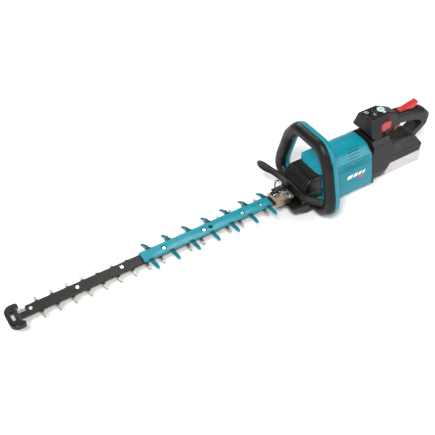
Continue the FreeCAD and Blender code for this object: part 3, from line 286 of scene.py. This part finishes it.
# ---------------------------------------------------------------- mesh helpers
def piece(name, points, faces, look, body, slot, replaces=(), levels=0, bevel=0.0, sharp=40):
    """A mesh given in millimetres of the shared frame, dressed and riding on a body."""
    mesh = bpy.data.meshes.new(name)
    mesh.from_pydata([Vector(p) * MM for p in points], [], faces)
    welded = bmesh.new()
    welded.from_mesh(mesh)
    bmesh.ops.remove_doubles(welded, verts=welded.verts, dist=1e-6)
    bmesh.ops.recalc_face_normals(welded, faces=welded.faces)
    welded.to_mesh(mesh)
    welded.free()
    obj = bpy.data.objects.new(name, mesh)
    bpy.context.scene.collection.objects.link(obj)
    if bevel:
        rounder = obj.modifiers.new("rounder", "BEVEL")
        rounder.width = bevel * MM
        rounder.segments = 3
        rounder.limit_method = "ANGLE"
        rounder.angle_limit = math.radians(30)
        rounder.harden_normals = False
    if levels:
        finer = obj.modifiers.new("finer", "SUBSURF")
        finer.levels = levels
        finer.render_levels = levels
    for face in mesh.polygons:
        face.use_smooth = True
    if not levels:
        mesh.set_sharp_from_angle(angle=math.radians(sharp))
    dress(obj, look)
    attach(obj, body)
    if replaces:
        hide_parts(*replaces)
    return obj


def arc_path(corners, closed, spacing):
    """Corners (u, v, radius) as evenly spaced points with each corner rounded."""
    count = len(corners)
    raw = []
    for i, (u, v, radius) in enumerate(corners):
        here = Vector((u, v))
        if not closed and i in (0, count - 1):
            raw.append(here)
            continue
        before = Vector(corners[i - 1][:2])
        after = Vector(corners[(i + 1) % count][:2])
        a, b = (before - here).normalized(), (after - here).normalized()
        half = a.angle(b) / 2
        cut = min(radius / math.tan(half), (before - here).length * 0.5,
                  (after - here).length * 0.5)
        for k in range(13):
            t = k / 12
            raw.append((here + a * cut).lerp(here, t).lerp(here.lerp(here + b * cut, t), t))
    if closed:
        raw.append(raw[0])
    lengths = [0.0]
    for p, q in zip(raw, raw[1:]):
        lengths.append(lengths[-1] + (q - p).length)
    steps = max(2, round(lengths[-1] / spacing))
    points, j = [], 0
    for k in range(steps if closed else steps + 1):
        target = lengths[-1] * k / steps
        while j < len(lengths) - 2 and lengths[j + 1] < target:
            j += 1
        span = lengths[j + 1] - lengths[j]
        points.append(raw[j].lerp(raw[j + 1], (target - lengths[j]) / span if span else 0))
    return points


def rounded_ring(half_u, half_v, radius, per_corner=6, centre=(0, 0)):
    """Points of a rounded rectangle, anticlockwise."""
    points = []
    for quarter, (su, sv) in enumerate(((1, 1), (-1, 1), (-1, -1), (1, -1))):
        for k in range(per_corner + 1):
            angle = math.pi / 2 * (quarter + k / per_corner)
            points.append((centre[0] + su * (half_u - radius) + radius * math.cos(angle),
                           centre[1] + sv * (half_v - radius) + radius * math.sin(angle)))
    return points


def loft(rings, closed_along=False):
    """Points and faces between rings of equal size, with the ends capped or joined up."""
    size = len(rings[0])
    points = [p for ring in rings for p in ring]
    faces = []
    last = len(rings) if closed_along else len(rings) - 1
    for i in range(last):
        j = (i + 1) % len(rings)
        for k in range(size):
            m = (k + 1) % size
            faces.append((i * size + k, i * size + m, j * size + m, j * size + k))
    if not closed_along:
        faces.append(tuple(range(size))[::-1])
        faces.append(tuple((len(rings) - 1) * size + k for k in range(size)))
    return points, faces


def add_loft(points, faces, rings):
    """Adds one lofted body to the points and faces of a piece."""
    more_points, more_faces = loft(rings)
    start = len(points)
    points += more_points
    faces += [tuple(start + k for k in face) for face in more_faces]


def sweep_yz(path, section):
    """Rings of a section (x, outward) carried along a path in the YZ plane."""
    rings = []
    for i, p in enumerate(path):
        ahead = path[min(i + 1, len(path) - 1)] - path[max(i - 1, 0)]
        ahead.normalize()
        out = Vector((ahead.y, -ahead.x))
        rings.append([(x, p.x + out.x * o, p.y + out.y * o) for x, o in section])
    return rings


def plate(name, corners, rise, look, body, slot, bevel):
    """A raised plate: its corners lie on a surface and its top stands off along rise."""
    base = [Vector(c) for c in corners]
    lift = Vector(rise)
    points = [p - lift * 0.6 for p in base] + [p + lift for p in base]
    count = len(base)
    faces = [tuple(range(count))[::-1], tuple(range(count, 2 * count))]
    faces += [(i, (i + 1) % count, count + (i + 1) % count, count + i) for i in range(count)]
    return piece(name, [tuple(p) for p in points], faces, look, body, slot, bevel=bevel,
                 sharp=60)


def flank_plate(name, corners, side, rise, look, body, slot, bevel):
    """A raised plate on one flank, from its corners on the far flank."""
    turned = [(x, side * y, z) for x, y, z in corners][::-side]
    return plate(name, turned, (0, side * rise, 0), look, body, slot, bevel)


# ---------------------------------------------------------------- front loop handle
LOOP_HALF, LOOP_TOP, LOOP_THICK = 108.0, 203.0, 31.0
GRIP_FRONT, GRIP_REAR, SHELL_REAR = 165.0, 182.5, 198.0


def loop_line(inset):
    """The loop's outline (y, z), drawn in by an inset, from foot to foot."""
    half = LOOP_HALF - inset
    right = [(half - 22, 10 + inset, 26 - inset), (half + 2, 40 + inset / 2, 34 - inset),
             (half, 76, 60), (half - 22, LOOP_TOP - 52, 60 - inset),
             (half - 48, LOOP_TOP - inset, 44 - inset)]
    left = [(-y, z, r) for y, z, r in right[::-1]]
    ends = 44.0
    corners = [(ends, 10 + inset, 0)] + right + left + [(-ends, 10 + inset, 0)]
    return arc_path(corners, False, 5.0)


def front_loop():
    """The loop's soft grip in front and its hard shell behind."""
    line = loop_line(LOOP_THICK / 2)
    grip, deep, half = [], 15.4, 15.2
    for k in range(29):
        angle = math.pi / 2 + math.pi * k / 28
        grip.append((GRIP_FRONT + deep + deep * math.cos(angle), half * math.sin(angle)))
    grip += [(GRIP_REAR - 1.2, -half), (GRIP_REAR - 0.3, 1 - half), (GRIP_REAR - 0.3, half - 1),
             (GRIP_REAR - 1.2, half)]
    piece("loop_grip", *loft(sweep_yz(line, grip)), "rubber", FRAME_BODY, "rubber_black",
          replaces=["front_handle_grip"], sharp=50)
    shell = [(GRIP_REAR + 0.2, 14.0), (GRIP_REAR + 0.2, -14.0), (GRIP_REAR + 0.9, -15.2),
             (GRIP_REAR + 2.0, -15.5), (GRIP_REAR + 4.5, -15.2), (SHELL_REAR - 2.8, -13.4),
             (SHELL_REAR - 1.0, -10.8), (SHELL_REAR - 0.2, -7.0), (SHELL_REAR, 0.0),
             (SHELL_REAR - 0.2, 7.0), (SHELL_REAR - 1.0, 10.8), (SHELL_REAR - 2.8, 13.4),
             (GRIP_REAR + 4.5, 15.2), (GRIP_REAR + 2.0, 15.5), (GRIP_REAR + 0.9, 15.2)]
    piece("loop_shell", *loft(sweep_yz(line, shell)), "teal", FRAME_BODY, "teal_plastic",
          replaces=["front_handle_shell"], sharp=50)


front_loop()


# ---------------------------------------------------------------- hand guard
GUARD_STATIONS = (  # x, y, lowest z, highest z, half thickness
    (110.2, 97.5, 77, 82, 1.0), (111.6, 94.5, 71, 85.5, 2.0), (113.6, 90, 67.5, 87, 2.4),
    (117, 82.5, 64.5, 87, 2.6), (121, 74.5, 62.5, 85, 2.6), (125, 67.5, 62, 81.5, 2.4),
    (129, 60.5, 60.5, 78.5, 2.2), (133, 53, 57.5, 76.5, 2.2), (136.5, 44.5, 54.5, 75, 2.2),
    (138.8, 33, 52, 73.5, 2.2), (139.9, 18, 50.8, 73, 2.2), (140.1, 0, 50.6, 73, 2.2),
    (139.9, -18, 50.8, 73, 2.2), (139.4, -34, 51, 73, 2.2), (141, -46, 51.5, 72.5, 2.2),
    (146.5, -57, 52.5, 72, 2.2), (153, -69, 53.5, 73.5, 2.2), (159.5, -80, 54.5, 76, 2.2),
    (164.3, -89, 56, 78, 2.0))


GUARD_SECTION = (  # share of the half thickness outward, share of the half height
    (1.0, 1.0), (1.5, 0.93), (1.45, 0.8), (0.75, 0.66), (0.7, 0.0), (0.75, -0.66),
    (1.45, -0.8), (1.5, -0.93), (1.0, -1.0), (-0.2, -1.03), (-1.0, -0.97), (-0.95, -0.6),
    (-0.9, 0.0), (-0.95, 0.6), (-1.0, 0.97), (-0.2, 1.03))


def guard_rings():
    """The guard's ribbed section at each station."""
    rings = []
    for i, (x, y, low, high, half) in enumerate(GUARD_STATIONS):
        before = GUARD_STATIONS[max(i - 1, 0)]
        after = GUARD_STATIONS[min(i + 1, len(GUARD_STATIONS) - 1)]
        along = Vector((after[0] - before[0], after[1] - before[1])).normalized()
        out = Vector((along.y, -along.x))
        middle, tall = (low + high) / 2, (high - low) / 2
        ring = []
        for depth, level in GUARD_SECTION:
            ring.append((x + out.x * depth * half, y + out.y * depth * half,
                         middle + level * tall))
        rings.append(ring)
    return rings


def hand_guard():
    """The guard's band with its swept paddle, and the strut behind it."""
    piece("guard_band", *loft(guard_rings()), "black", FRAME_BODY, "black_plastic",
          replaces=["hand_guard"], levels=2)
    strut = ((131, 34, 56), (122, 31, 66), (113.5, 27, 70), (108.5, 22, 66), (107.5, 19.5, 57))
    section = ((2.0, 1.6, 0.9), (2.0, -1.6, 0.9), (-2.0, -1.6, -0.9), (-2.0, 1.6, -0.9))
    rings = [[(x + dx, y + dy, z + dz) for dx, dy, dz in section] for x, y, z in strut]
    piece("guard_strut", *loft(rings), "black", FRAME_BODY, "black_plastic", levels=2)


hand_guard()


# ---------------------------------------------------------------- hood over the gear case
HOOD_SIDE = ((142.4, 60.4), (143.2, 74.0), (153.5, 89.0), (163.5, 97.3), (194.8, 97.3),
             (194.8, 60.4))


def section_block(outline, half, look, name, slot, bevel, replaces=(), taper=0.0):
    """A side outline (x, z) carried across to plus and minus half, with rounded edges."""
    count = len(outline)
    points = [(x, side * (half - taper * (z - outline[0][1])), z)
              for side in (-1, 1) for x, z in outline]
    faces = [tuple(range(count)), tuple(range(2 * count - 1, count - 1, -1))]
    faces += [(i, (i + 1) % count, count + (i + 1) % count, count + i) for i in range(count)]
    return piece(name, points, faces, look, FRAME_BODY, slot, replaces=replaces, bevel=bevel,
                 sharp=60)


def hood():
    """The hood's shell with its deck, ridges, cheeks, brow and vents."""
    section_block(HOOD_SIDE, 41.5, "black", "hood_shell", "black_plastic", 3.0,
                  replaces=["case_shroud"], taper=0.10)
    plate("hood_deck", [(166, -30, 97.3), (193, -33, 97.3), (193, 33, 97.3), (166, 30, 97.3)],
          (0, 0, 1.4), "black", FRAME_BODY, "black_plastic", 0.9)
    for side in (-1, 1):
        plate("hood_ridge_%d" % (side + 1),
              [(146, side * 31, 77.5), (162, side * 30, 95.2), (162, side * 25.5, 95.2),
               (146, side * 25.5, 77.5)][::side], (-2.0, 0, 1.8), "black", FRAME_BODY,
              "black_plastic", 1.4)
        cheek = []
        for k in range(9):
            angle = math.pi * k / 8
            cheek.append((176 - 12.5 * math.cos(angle), side * 38.9, 80 + 9 * math.sin(angle)))
        cheek += [(188.5, side * 40.6, 64), (163.5, side * 40.6, 64)]
        plate("hood_cheek_%d" % (side + 1), cheek[::side], (0, side * 1.6, 0), "black",
              FRAME_BODY, "black_plastic", 0.8)
    plate("hood_brow", [(154.6, -22, 90.6), (161.5, -21, 96.2), (161.5, 21, 96.2),
                        (154.6, 22, 90.6)], (-0.9, 0, 1.1), "black", FRAME_BODY,
          "black_plastic", 0.6)
    # The vents are near-black plates painted as the shade inside them.
    for k, y in enumerate((-9, -3, 3, 9)):
        plate("hood_vent_%d" % k, [(156.0, y - 1.2, 91.9), (160.6, y - 1.2, 95.6),
                                   (160.6, y + 1.2, 95.6), (156.0, y + 1.2, 91.9)],
              (-1.1, 0, 1.5), "seam", FRAME_BODY, "black_plastic", 0.3)


hood()


def tube(name, path, radius, look, slot):
    """A round rod or hose through a list of points."""
    path = [Vector(p) for p in path]
    rings = []
    for i, p in enumerate(path):
        ahead = (path[min(i + 1, len(path) - 1)] - path[max(i - 1, 0)]).normalized()
        side = ahead.cross(Vector((0, 0, 1)) if abs(ahead.z) < 0.9 else Vector((1, 0, 0)))
        side.normalize()
        over = side.cross(ahead)
        rings.append([tuple(p + (side * math.cos(a) + over * math.sin(a)) * radius)
                      for a in (math.pi * 2 * k / 14 for k in range(14))])
    return piece(name, *loft(rings), look, FRAME_BODY, slot, sharp=50)


def saddle_details():
    """A keeper plate, a step, a spring clip, a pin and a wear strip on the saddle."""
    plate("saddle_keeper", [(93, 3, 51.5), (131, 5, 51.5), (133, 17, 51.5), (90, 16, 51.5)],
          (0, 0, 3.4), "black", FRAME_BODY, "black_plastic", 0.9)
    plate("saddle_step", [(97, 6, 54.9), (112, 7, 54.9), (112, 14, 54.9), (97, 14, 54.9)],
          (0, 0, 2.6), "cast", FRAME_BODY, "black_plastic", 0.8)
    tube("saddle_clip", [(92, 4, 54.5), (97, 1.5, 56), (104, 0.8, 56.2), (109, 2.5, 55.5),
                         (110.5, 6, 55.2)], 0.9, "zinc", "zinc")
    tube("saddle_pin", [(124, -6, 51.5), (124, -6, 53.6)], 2.6, "cast", "black_plastic")
    plate("saddle_wear", [(86.5, -16.8, 51.5), (90, -16.8, 51.5), (90, 16, 51.5),
                          (86.5, 16, 51.5)], (0, 0, 0.7), "bracket", FRAME_BODY,
          "bracket_steel", 0.3)


saddle_details()


# ---------------------------------------------------------------- motor housing details
HOUSE_SIDE = ((50, 5, 12), (52, 35, 20), (47, 104, 18), (24, 128, 30))  # y, z, radius
LEAN = math.tan(math.radians(8.2))
HOUSE_REAR, TURN_Z = 345.0, 66.0


def house_line(grow, spacing=3.0):
    """The housing's rounded section (y, z), grown outward."""
    (foot_y, foot_z, foot_r), *flank, (top_y, top_z, top_r) = HOUSE_SIDE
    right = [(foot_y + grow, foot_z - grow, foot_r)]
    right += [(y + grow, z, r) for y, z, r in flank]
    right.append((top_y, top_z + grow, top_r))
    left = [(-y, z, r) for y, z, r in right[::-1]]
    return arc_path(right + left, True, spacing)


def seam_x(z, shift):
    """X of the leaning plane between the housing and the rear handle."""
    return HOUSE_REAR + shift - (z - TURN_Z) * LEAN


def seam_band():
    """The dark band round the seam between the housing and the rear handle."""
    inner, outer = house_line(-2.0), house_line(0.7)
    steps = len(outer)
    inner = [inner[round(k * (len(inner) - 1) / (steps - 1))] for k in range(steps)]
    rings = []
    for o, i in zip(outer, inner):
        near = o.lerp(i, 0.15)
        rings.append([(seam_x(i.y, -5.0), i.x, i.y), (seam_x(o.y, -5.0), near.x, near.y),
                      (seam_x(o.y, -4.2), o.x, o.y), (seam_x(o.y, -0.7), o.x, o.y),
                      (seam_x(o.y, -0.1), near.x, near.y), (seam_x(i.y, -0.1), i.x, i.y)])
    piece("seam_band", *loft(rings, closed_along=True), "seam", FRAME_BODY, "black_plastic",
          sharp=45)


def rail_on_house(name, at, x0, x1, width, rise, side, look="teal"):
    """A thin rail along X on the housing's skin, at a share of the way up one flank."""
    line = house_line(0.0, 1.0)
    half = [p for p in line if p.x > 0] if side > 0 else [p for p in line if p.x < 0]
    half.sort(key=lambda p: p.y)
    lengths = [0.0]
    for p, q in zip(half, half[1:]):
        lengths.append(lengths[-1] + (q - p).length)

    def on_skin(distance):
        j = min(range(len(lengths)), key=lambda n: abs(lengths[n] - distance))
        a, b = half[max(j - 2, 0)], half[min(j + 2, len(half) - 1)]
        along = (b - a).normalized()
        out = Vector((along.y, -along.x))
        return half[j], (out if out.x * side > 0 or abs(out.x) < 1e-6 else -out)

    target = at * lengths[-1]
    rings = []
    for k in range(13):
        t = k / 12
        x = x0 + (x1 - x0) * t
        fade = min(1.0, 6 * t, 6 * (1 - t))
        lift = rise * fade
        section = ((-width / 2, -1.0), (-width / 2, lift * 0.3), (0.0, lift),
                   (width / 2, lift * 0.3), (width / 2, -1.0))
        ring = []
        for across, off in section:
            foot, out = on_skin(target + across)
            ring.append((x, foot.x + out.x * off, foot.y + out.y * off))
        rings.append(ring)
    piece(name, *loft(rings), look, FRAME_BODY, "teal_plastic", sharp=60)


def housing_details():
    """The seam band, the lines and slots on each shoulder, and a low rail on each flank."""
    seam_band()
    for side, word in SIDES:
        for k, at in enumerate((0.650, 0.677, 0.704, 0.731)):
            rail_on_house("shoulder_rail_%s_%d" % (word, k), at, 232 + 4 * k, 334 - 2 * k,
                          2.6, 1.3, side)
            # The darker strip beside each rail is painted shade.
            rail_on_house("shoulder_gap_%s_%d" % (word, k), at + 0.0135, 235 + 4 * k,
                          332 - 2 * k, 1.5, 0.3, side, "teal_deep")
        # The top slots are near-black strips painted as the shade inside them.
        for k in range(4):
            rail_on_house("top_slot_%s_%d" % (word, k), 0.775 + 0.03 * k, 268 + 3 * k,
                          300 + 3 * k, 1.4, 0.35, side, "seam")
        rail_on_house("belly_rail_%s" % word, 0.20, 214, 336, 3.0, 1.2, side)


housing_details()


def badge():
    """A plain generic mark on each flank: slanted bars over one short red bar."""
    for side, word in SIDES:
        for k, (x, length) in enumerate(((262, 15), (281, 11), (296, 8), (308, 6))):
            corners = [(x, 51.1, 60), (x + length, 51.0, 60), (x + length + 5, 50.3, 70),
                       (x + 5, 50.3, 70)]
            flank_plate("badge_bar_%s_%d" % (word, k), corners, side, 0.25, "white",
                        FRAME_BODY, "teal_plastic", 0.1)
        corners = [(296, 51.5, 50), (314, 51.4, 50), (317, 51.1, 56), (299, 51.1, 56)]
        flank_plate("badge_stripe_%s" % word, corners, side, 0.25, "pink", FRAME_BODY,
                    "teal_plastic", 0.1)


badge()


# ---------------------------------------------------------------- comb and its fingers
PITCH, BOLT_FIRST = 33.6, -500.0
COMB_FRONT, COMB_REAR, COMB_HALF = -251.0, 78.0, 15.0
COMB_LOW, COMB_TOP = 45.05, 49.0
FINGER_FIRST, FINGER_LEAN = -232.0, 5.0
FINGER_ROOT, FINGER_END, FINGER_DROP = 13.0, 41.0, 5.5
BOLT_HOLE, CHIP_HOLE, COMB_EDGE = 6.0, 5.0, 0.5


def comb_plate():
    """The comb's flat strip, with its bolt holes and the chip screw's hole."""
    flat = bpy.data.curves.new("comb_outline", "CURVE")
    flat.dimensions = "2D"
    flat.fill_mode = "BOTH"
    middle = ((COMB_FRONT + COMB_REAR) / 2, 0)
    loops = [rounded_ring((COMB_REAR - COMB_FRONT) / 2, COMB_HALF, 2.0, 5, middle)]
    holes = [(BOLT_FIRST + k * 3 * PITCH, BOLT_HOLE) for k in (3, 4, 5)]
    holes += [(BOLT_FIRST + 16.5 * PITCH, BOLT_HOLE), (BOLT_FIRST + 12.5 * PITCH, CHIP_HOLE)]
    for x, radius in holes:
        loops.append([(x + radius * math.cos(a), radius * math.sin(a))
                      for a in (math.tau * k / 40 for k in range(40))])
    for loop in loops:
        line = flat.splines.new("POLY")
        line.points.add(len(loop) - 1)
        line.use_cyclic_u = True
        for point, (x, y) in zip(line.points, loop):
            point.co = (x, y, 0, 1)
    flat.extrude = (COMB_TOP - COMB_LOW) / 2 - COMB_EDGE
    flat.bevel_depth = COMB_EDGE
    flat.bevel_resolution = 2
    flat.offset = -COMB_EDGE
    holder = bpy.data.objects.new("comb_outline", flat)
    made = bpy.data.meshes.new_from_object(holder)
    level = (COMB_LOW + COMB_TOP) / 2
    points = [(v.co.x, v.co.y, v.co.z + level) for v in made.vertices]
    faces = [tuple(f.vertices) for f in made.polygons]
    bpy.data.objects.remove(holder)
    bpy.data.curves.remove(flat)
    bpy.data.meshes.remove(made)
    return points, faces


def finger_rings(x, side, half, top, low, start, end):
    """Rings of one blunt finger from its root out to its rounded, lowered tip."""
    rings = []
    for t in (0.0, 0.12, 0.3, 0.6, 0.82, 0.92, 0.97, 1.0):
        y = start + (end - start) * t
        shift = side * FINGER_LEAN * (1 - t)
        fall = FINGER_DROP * t * t
        wide = half * (1.0 + 0.75 * (1 - t) ** 3)
        wide *= math.sqrt(max(0.06, 1 - ((t - 0.82) / 0.185) ** 2)) if t > 0.82 else 1.0
        tall = (top - low) / 2 * (1.0 if t < 0.95 else 0.75)
        centre = (top + low) / 2 - fall
        ring = []
        for u, v in rounded_ring(wide, tall, min(wide, tall) * 0.6, 4):
            ring.append((x + shift + u, side * y, centre + v))
        rings.append(ring)
    return rings


def rib_rings(x, side, shift, reach):
    """Rings of one thin rib that runs from the strip's edge onto a finger's root."""
    rings = []
    for y, narrow, z in ((11.8, 0.8, 48.4), (12.6, 0.9, 49.6), (18, 0.8, 49.3),
                         (reach, 0.5, 48.3)):
        t = max((y - FINGER_ROOT) / (FINGER_END - FINGER_ROOT), 0)
        middle = x + side * FINGER_LEAN * (1 - t) + shift * (1 - 0.9 * t)
        rings.append([(middle - narrow, side * y, z), (middle + narrow, side * y, z),
                      (middle + narrow, side * y, z - 1.8), (middle - narrow, side * y, z - 1.8)])
    return rings


def comb():
    """The comb with its fingers, the ribs at their roots and the ridges along them."""
    fingers = [(FINGER_FIRST + i * 1.5 * PITCH, side) for i in range(7) for side in (-1, 1)]
    points, faces = comb_plate()
    for x, side in fingers:
        add_loft(points, faces, finger_rings(x, side, 4.1, COMB_TOP - 0.3, COMB_LOW + 0.2,
                                             FINGER_ROOT, FINGER_END))
    piece("comb_body", points, faces, "teal_comb", FRAME_BODY, "teal_plastic",
          replaces=["finger_guard"], sharp=50)
    points, faces = [], []
    for x, side in fingers:
        for shift, reach in ((-4.6, 21), (-1.5, 25), (1.6, 25), (4.7, 21)):
            add_loft(points, faces, rib_rings(x, side, shift, reach))
    # The ribs are near-black, painted as the shade between them.
    piece("comb_ribs", points, faces, "seam", FRAME_BODY, "teal_plastic")
    # The darker teal ridges are painted shade along each finger.
    points, faces = [], []
    for x, side in fingers:
        add_loft(points, faces, finger_rings(x, side, 2.0, COMB_TOP + 0.05, COMB_TOP - 1.6,
                                             24.0, FINGER_END - 2.6))
    piece("comb_ridges", points, faces, "teal_deep", FRAME_BODY, "teal_plastic")


comb()


# ---------------------------------------------------------------- rear handle details
def rounded_tag(name, centre, half_u, half_v, radius, rise, look, body, slot, bevel=0.3):
    """A small rounded plate lying in the XY plane at a height."""
    x, y, z = centre
    ring = [(u, v, z) for u, v in rounded_ring(half_u, half_v, radius, 5, (x, y))]
    return plate(name, ring, (0, 0, rise), look, body, slot, bevel)


def panel_details():
    """The power button's bezel and the panel's plain marks and dots."""
    top = 182.7
    rounded_tag("power_bezel", (387, 1, top), 9.2, 9.2, 9.1, 0.5, "lens", HANDLE_BODY,
                "lens_white", 0.3)
    for k, (x, y, u, v) in enumerate(((349, 12, 3.4, 0.8), (349, 7, 0.8, 2.6),
                                      (354, 8, 0.7, 3.2))):
        rounded_tag("panel_mark_%d" % k, (x, y, top), u, v, 0.5, 0.12, "white", HANDLE_BODY,
                    "black_plastic", 0.05)
    for k, (x, y) in enumerate(((366, 6), (371, 4), (366, -1), (372, -2), (369, 10))):
        rounded_tag("panel_dot_%d" % k, (x, y, top), 1.5, 1.0, 0.6, 0.12, "grey", HANDLE_BODY,
                    "black_plastic", 0.05)


panel_details()


def base_vents():
    """A row of narrow slots and a line on each flank of the handle's base."""
    skin = 40.0
    for side, word in SIDES:
        # The slots are near-black plates painted as the shade inside them.
        for k in range(15):
            x = 436 + 4.6 * k
            corners = [(x, skin, 44.0), (x + 2.2, skin, 44.0), (x + 2.2, skin, 50.0),
                       (x, skin, 50.0)]
            flank_plate("base_slot_%s_%d" % (word, k), corners, side, 0.12, "seam",
                        HANDLE_BODY, "dark_plastic", 0.05)
        corners = [(432, skin, 53.5), (505, skin, 53.5), (505, skin, 55.0), (432, skin, 55.0)]
        flank_plate("base_line_%s" % word, corners, side, 0.5, "dark", HANDLE_BODY,
                    "dark_plastic", 0.3)


base_vents()


def battery_details():
    """Grip ribs on each flank of the battery."""
    skin = 39.0
    for side, word in SIDES:
        for k in range(4):
            z = 9.0 + 5.2 * k
            corners = [(410, skin, z), (504, skin, z), (504, skin, z + 1.6), (410, skin, z + 1.6)]
            flank_plate("battery_rib_%s_%d" % (word, k), corners, side, 0.6, "battery",
                        "battery", "battery_grey", 0.4)


battery_details()


# ---------------------------------------------------------------- floor, light and camera
FLOOR_REACH, FLOOR_LEVEL = 6.0, -0.0006
WORLD_LIGHT = 0.3
LIT_POINT = Vector((0.05, 0.0, 0.08))
LAMPS = (  # name, place, size, watts, colour
    ("key", (-1.2, -1.2, 2.4), 0.9, 84.0, (1.0, 0.99, 0.97)),
    ("fill", (1.9, -1.8, 1.4), 1.4, 24.0, (0.97, 0.98, 1.0)),
    ("rim", (0.6, 2.2, 1.9), 1.2, 42.0, (1.0, 1.0, 1.0)))
SENSOR_WIDTH, LENS = 36.0, 58.6
CAMERA_TARGET = Vector((-0.0619, 0.0, 0.0673))
CAMERA_TURN, CAMERA_RISE, CAMERA_AWAY = math.radians(-32.3), math.radians(44.7), 1.5544


def build_floor(scene):
    reach = FLOOR_REACH
    floor_mesh = bpy.data.meshes.new("studio_floor")
    floor_mesh.from_pydata([(-reach, -reach, 0), (reach, -reach, 0), (reach, reach, 0),
                            (-reach, reach, 0)], [], [(0, 1, 2, 3)])
    floor = bpy.data.objects.new("studio_floor", floor_mesh)
    floor.location.z = FLOOR_LEVEL
    scene.collection.objects.link(floor)
    pale = surface("pale_floor", shade(250, 250, 250), 0.75, patch=0.4, mottle=0.004,
                   grain=0.01, bump=0.02, specular=0.1)
    floor_mesh.materials.append(pale)


def build_lights(scene):
    world = bpy.data.worlds.new("studio")
    scene.world = world
    world.use_nodes = True
    back = world.node_tree.nodes["Background"]
    back.inputs["Color"].default_value = (1.0, 1.0, 1.0, 1.0)
    back.inputs["Strength"].default_value = WORLD_LIGHT
    for name, at, size, power, tint in LAMPS:
        lamp = bpy.data.lights.new(name, "AREA")
        lamp.shape = "DISK"
        lamp.size = size
        lamp.energy = power
        lamp.color = tint
        held = bpy.data.objects.new(name, lamp)
        held.location = at
        held.rotation_mode = "QUATERNION"
        held.rotation_quaternion = (Vector(at) - LIT_POINT).to_track_quat("Z", "Y")
        scene.collection.objects.link(held)


def build_camera(scene):
    eye = bpy.data.cameras.new("photo_view")
    eye.sensor_width = SENSOR_WIDTH
    eye.lens = LENS
    eye.clip_start, eye.clip_end = 0.05, 50.0
    camera = bpy.data.objects.new("photo_view", eye)
    back_way = Vector((math.sin(CAMERA_TURN) * math.cos(CAMERA_RISE),
                       -math.cos(CAMERA_TURN) * math.cos(CAMERA_RISE), math.sin(CAMERA_RISE)))
    camera.location = CAMERA_TARGET + back_way * CAMERA_AWAY
    camera.rotation_mode = "QUATERNION"
    camera.rotation_quaternion = back_way.to_track_quat("Z", "Y")
    scene.collection.objects.link(camera)
    scene.camera = camera


build_floor(bpy.context.scene)
build_lights(bpy.context.scene)
build_camera(bpy.context.scene)
bpy.context.scene.view_settings.view_transform = "Standard"
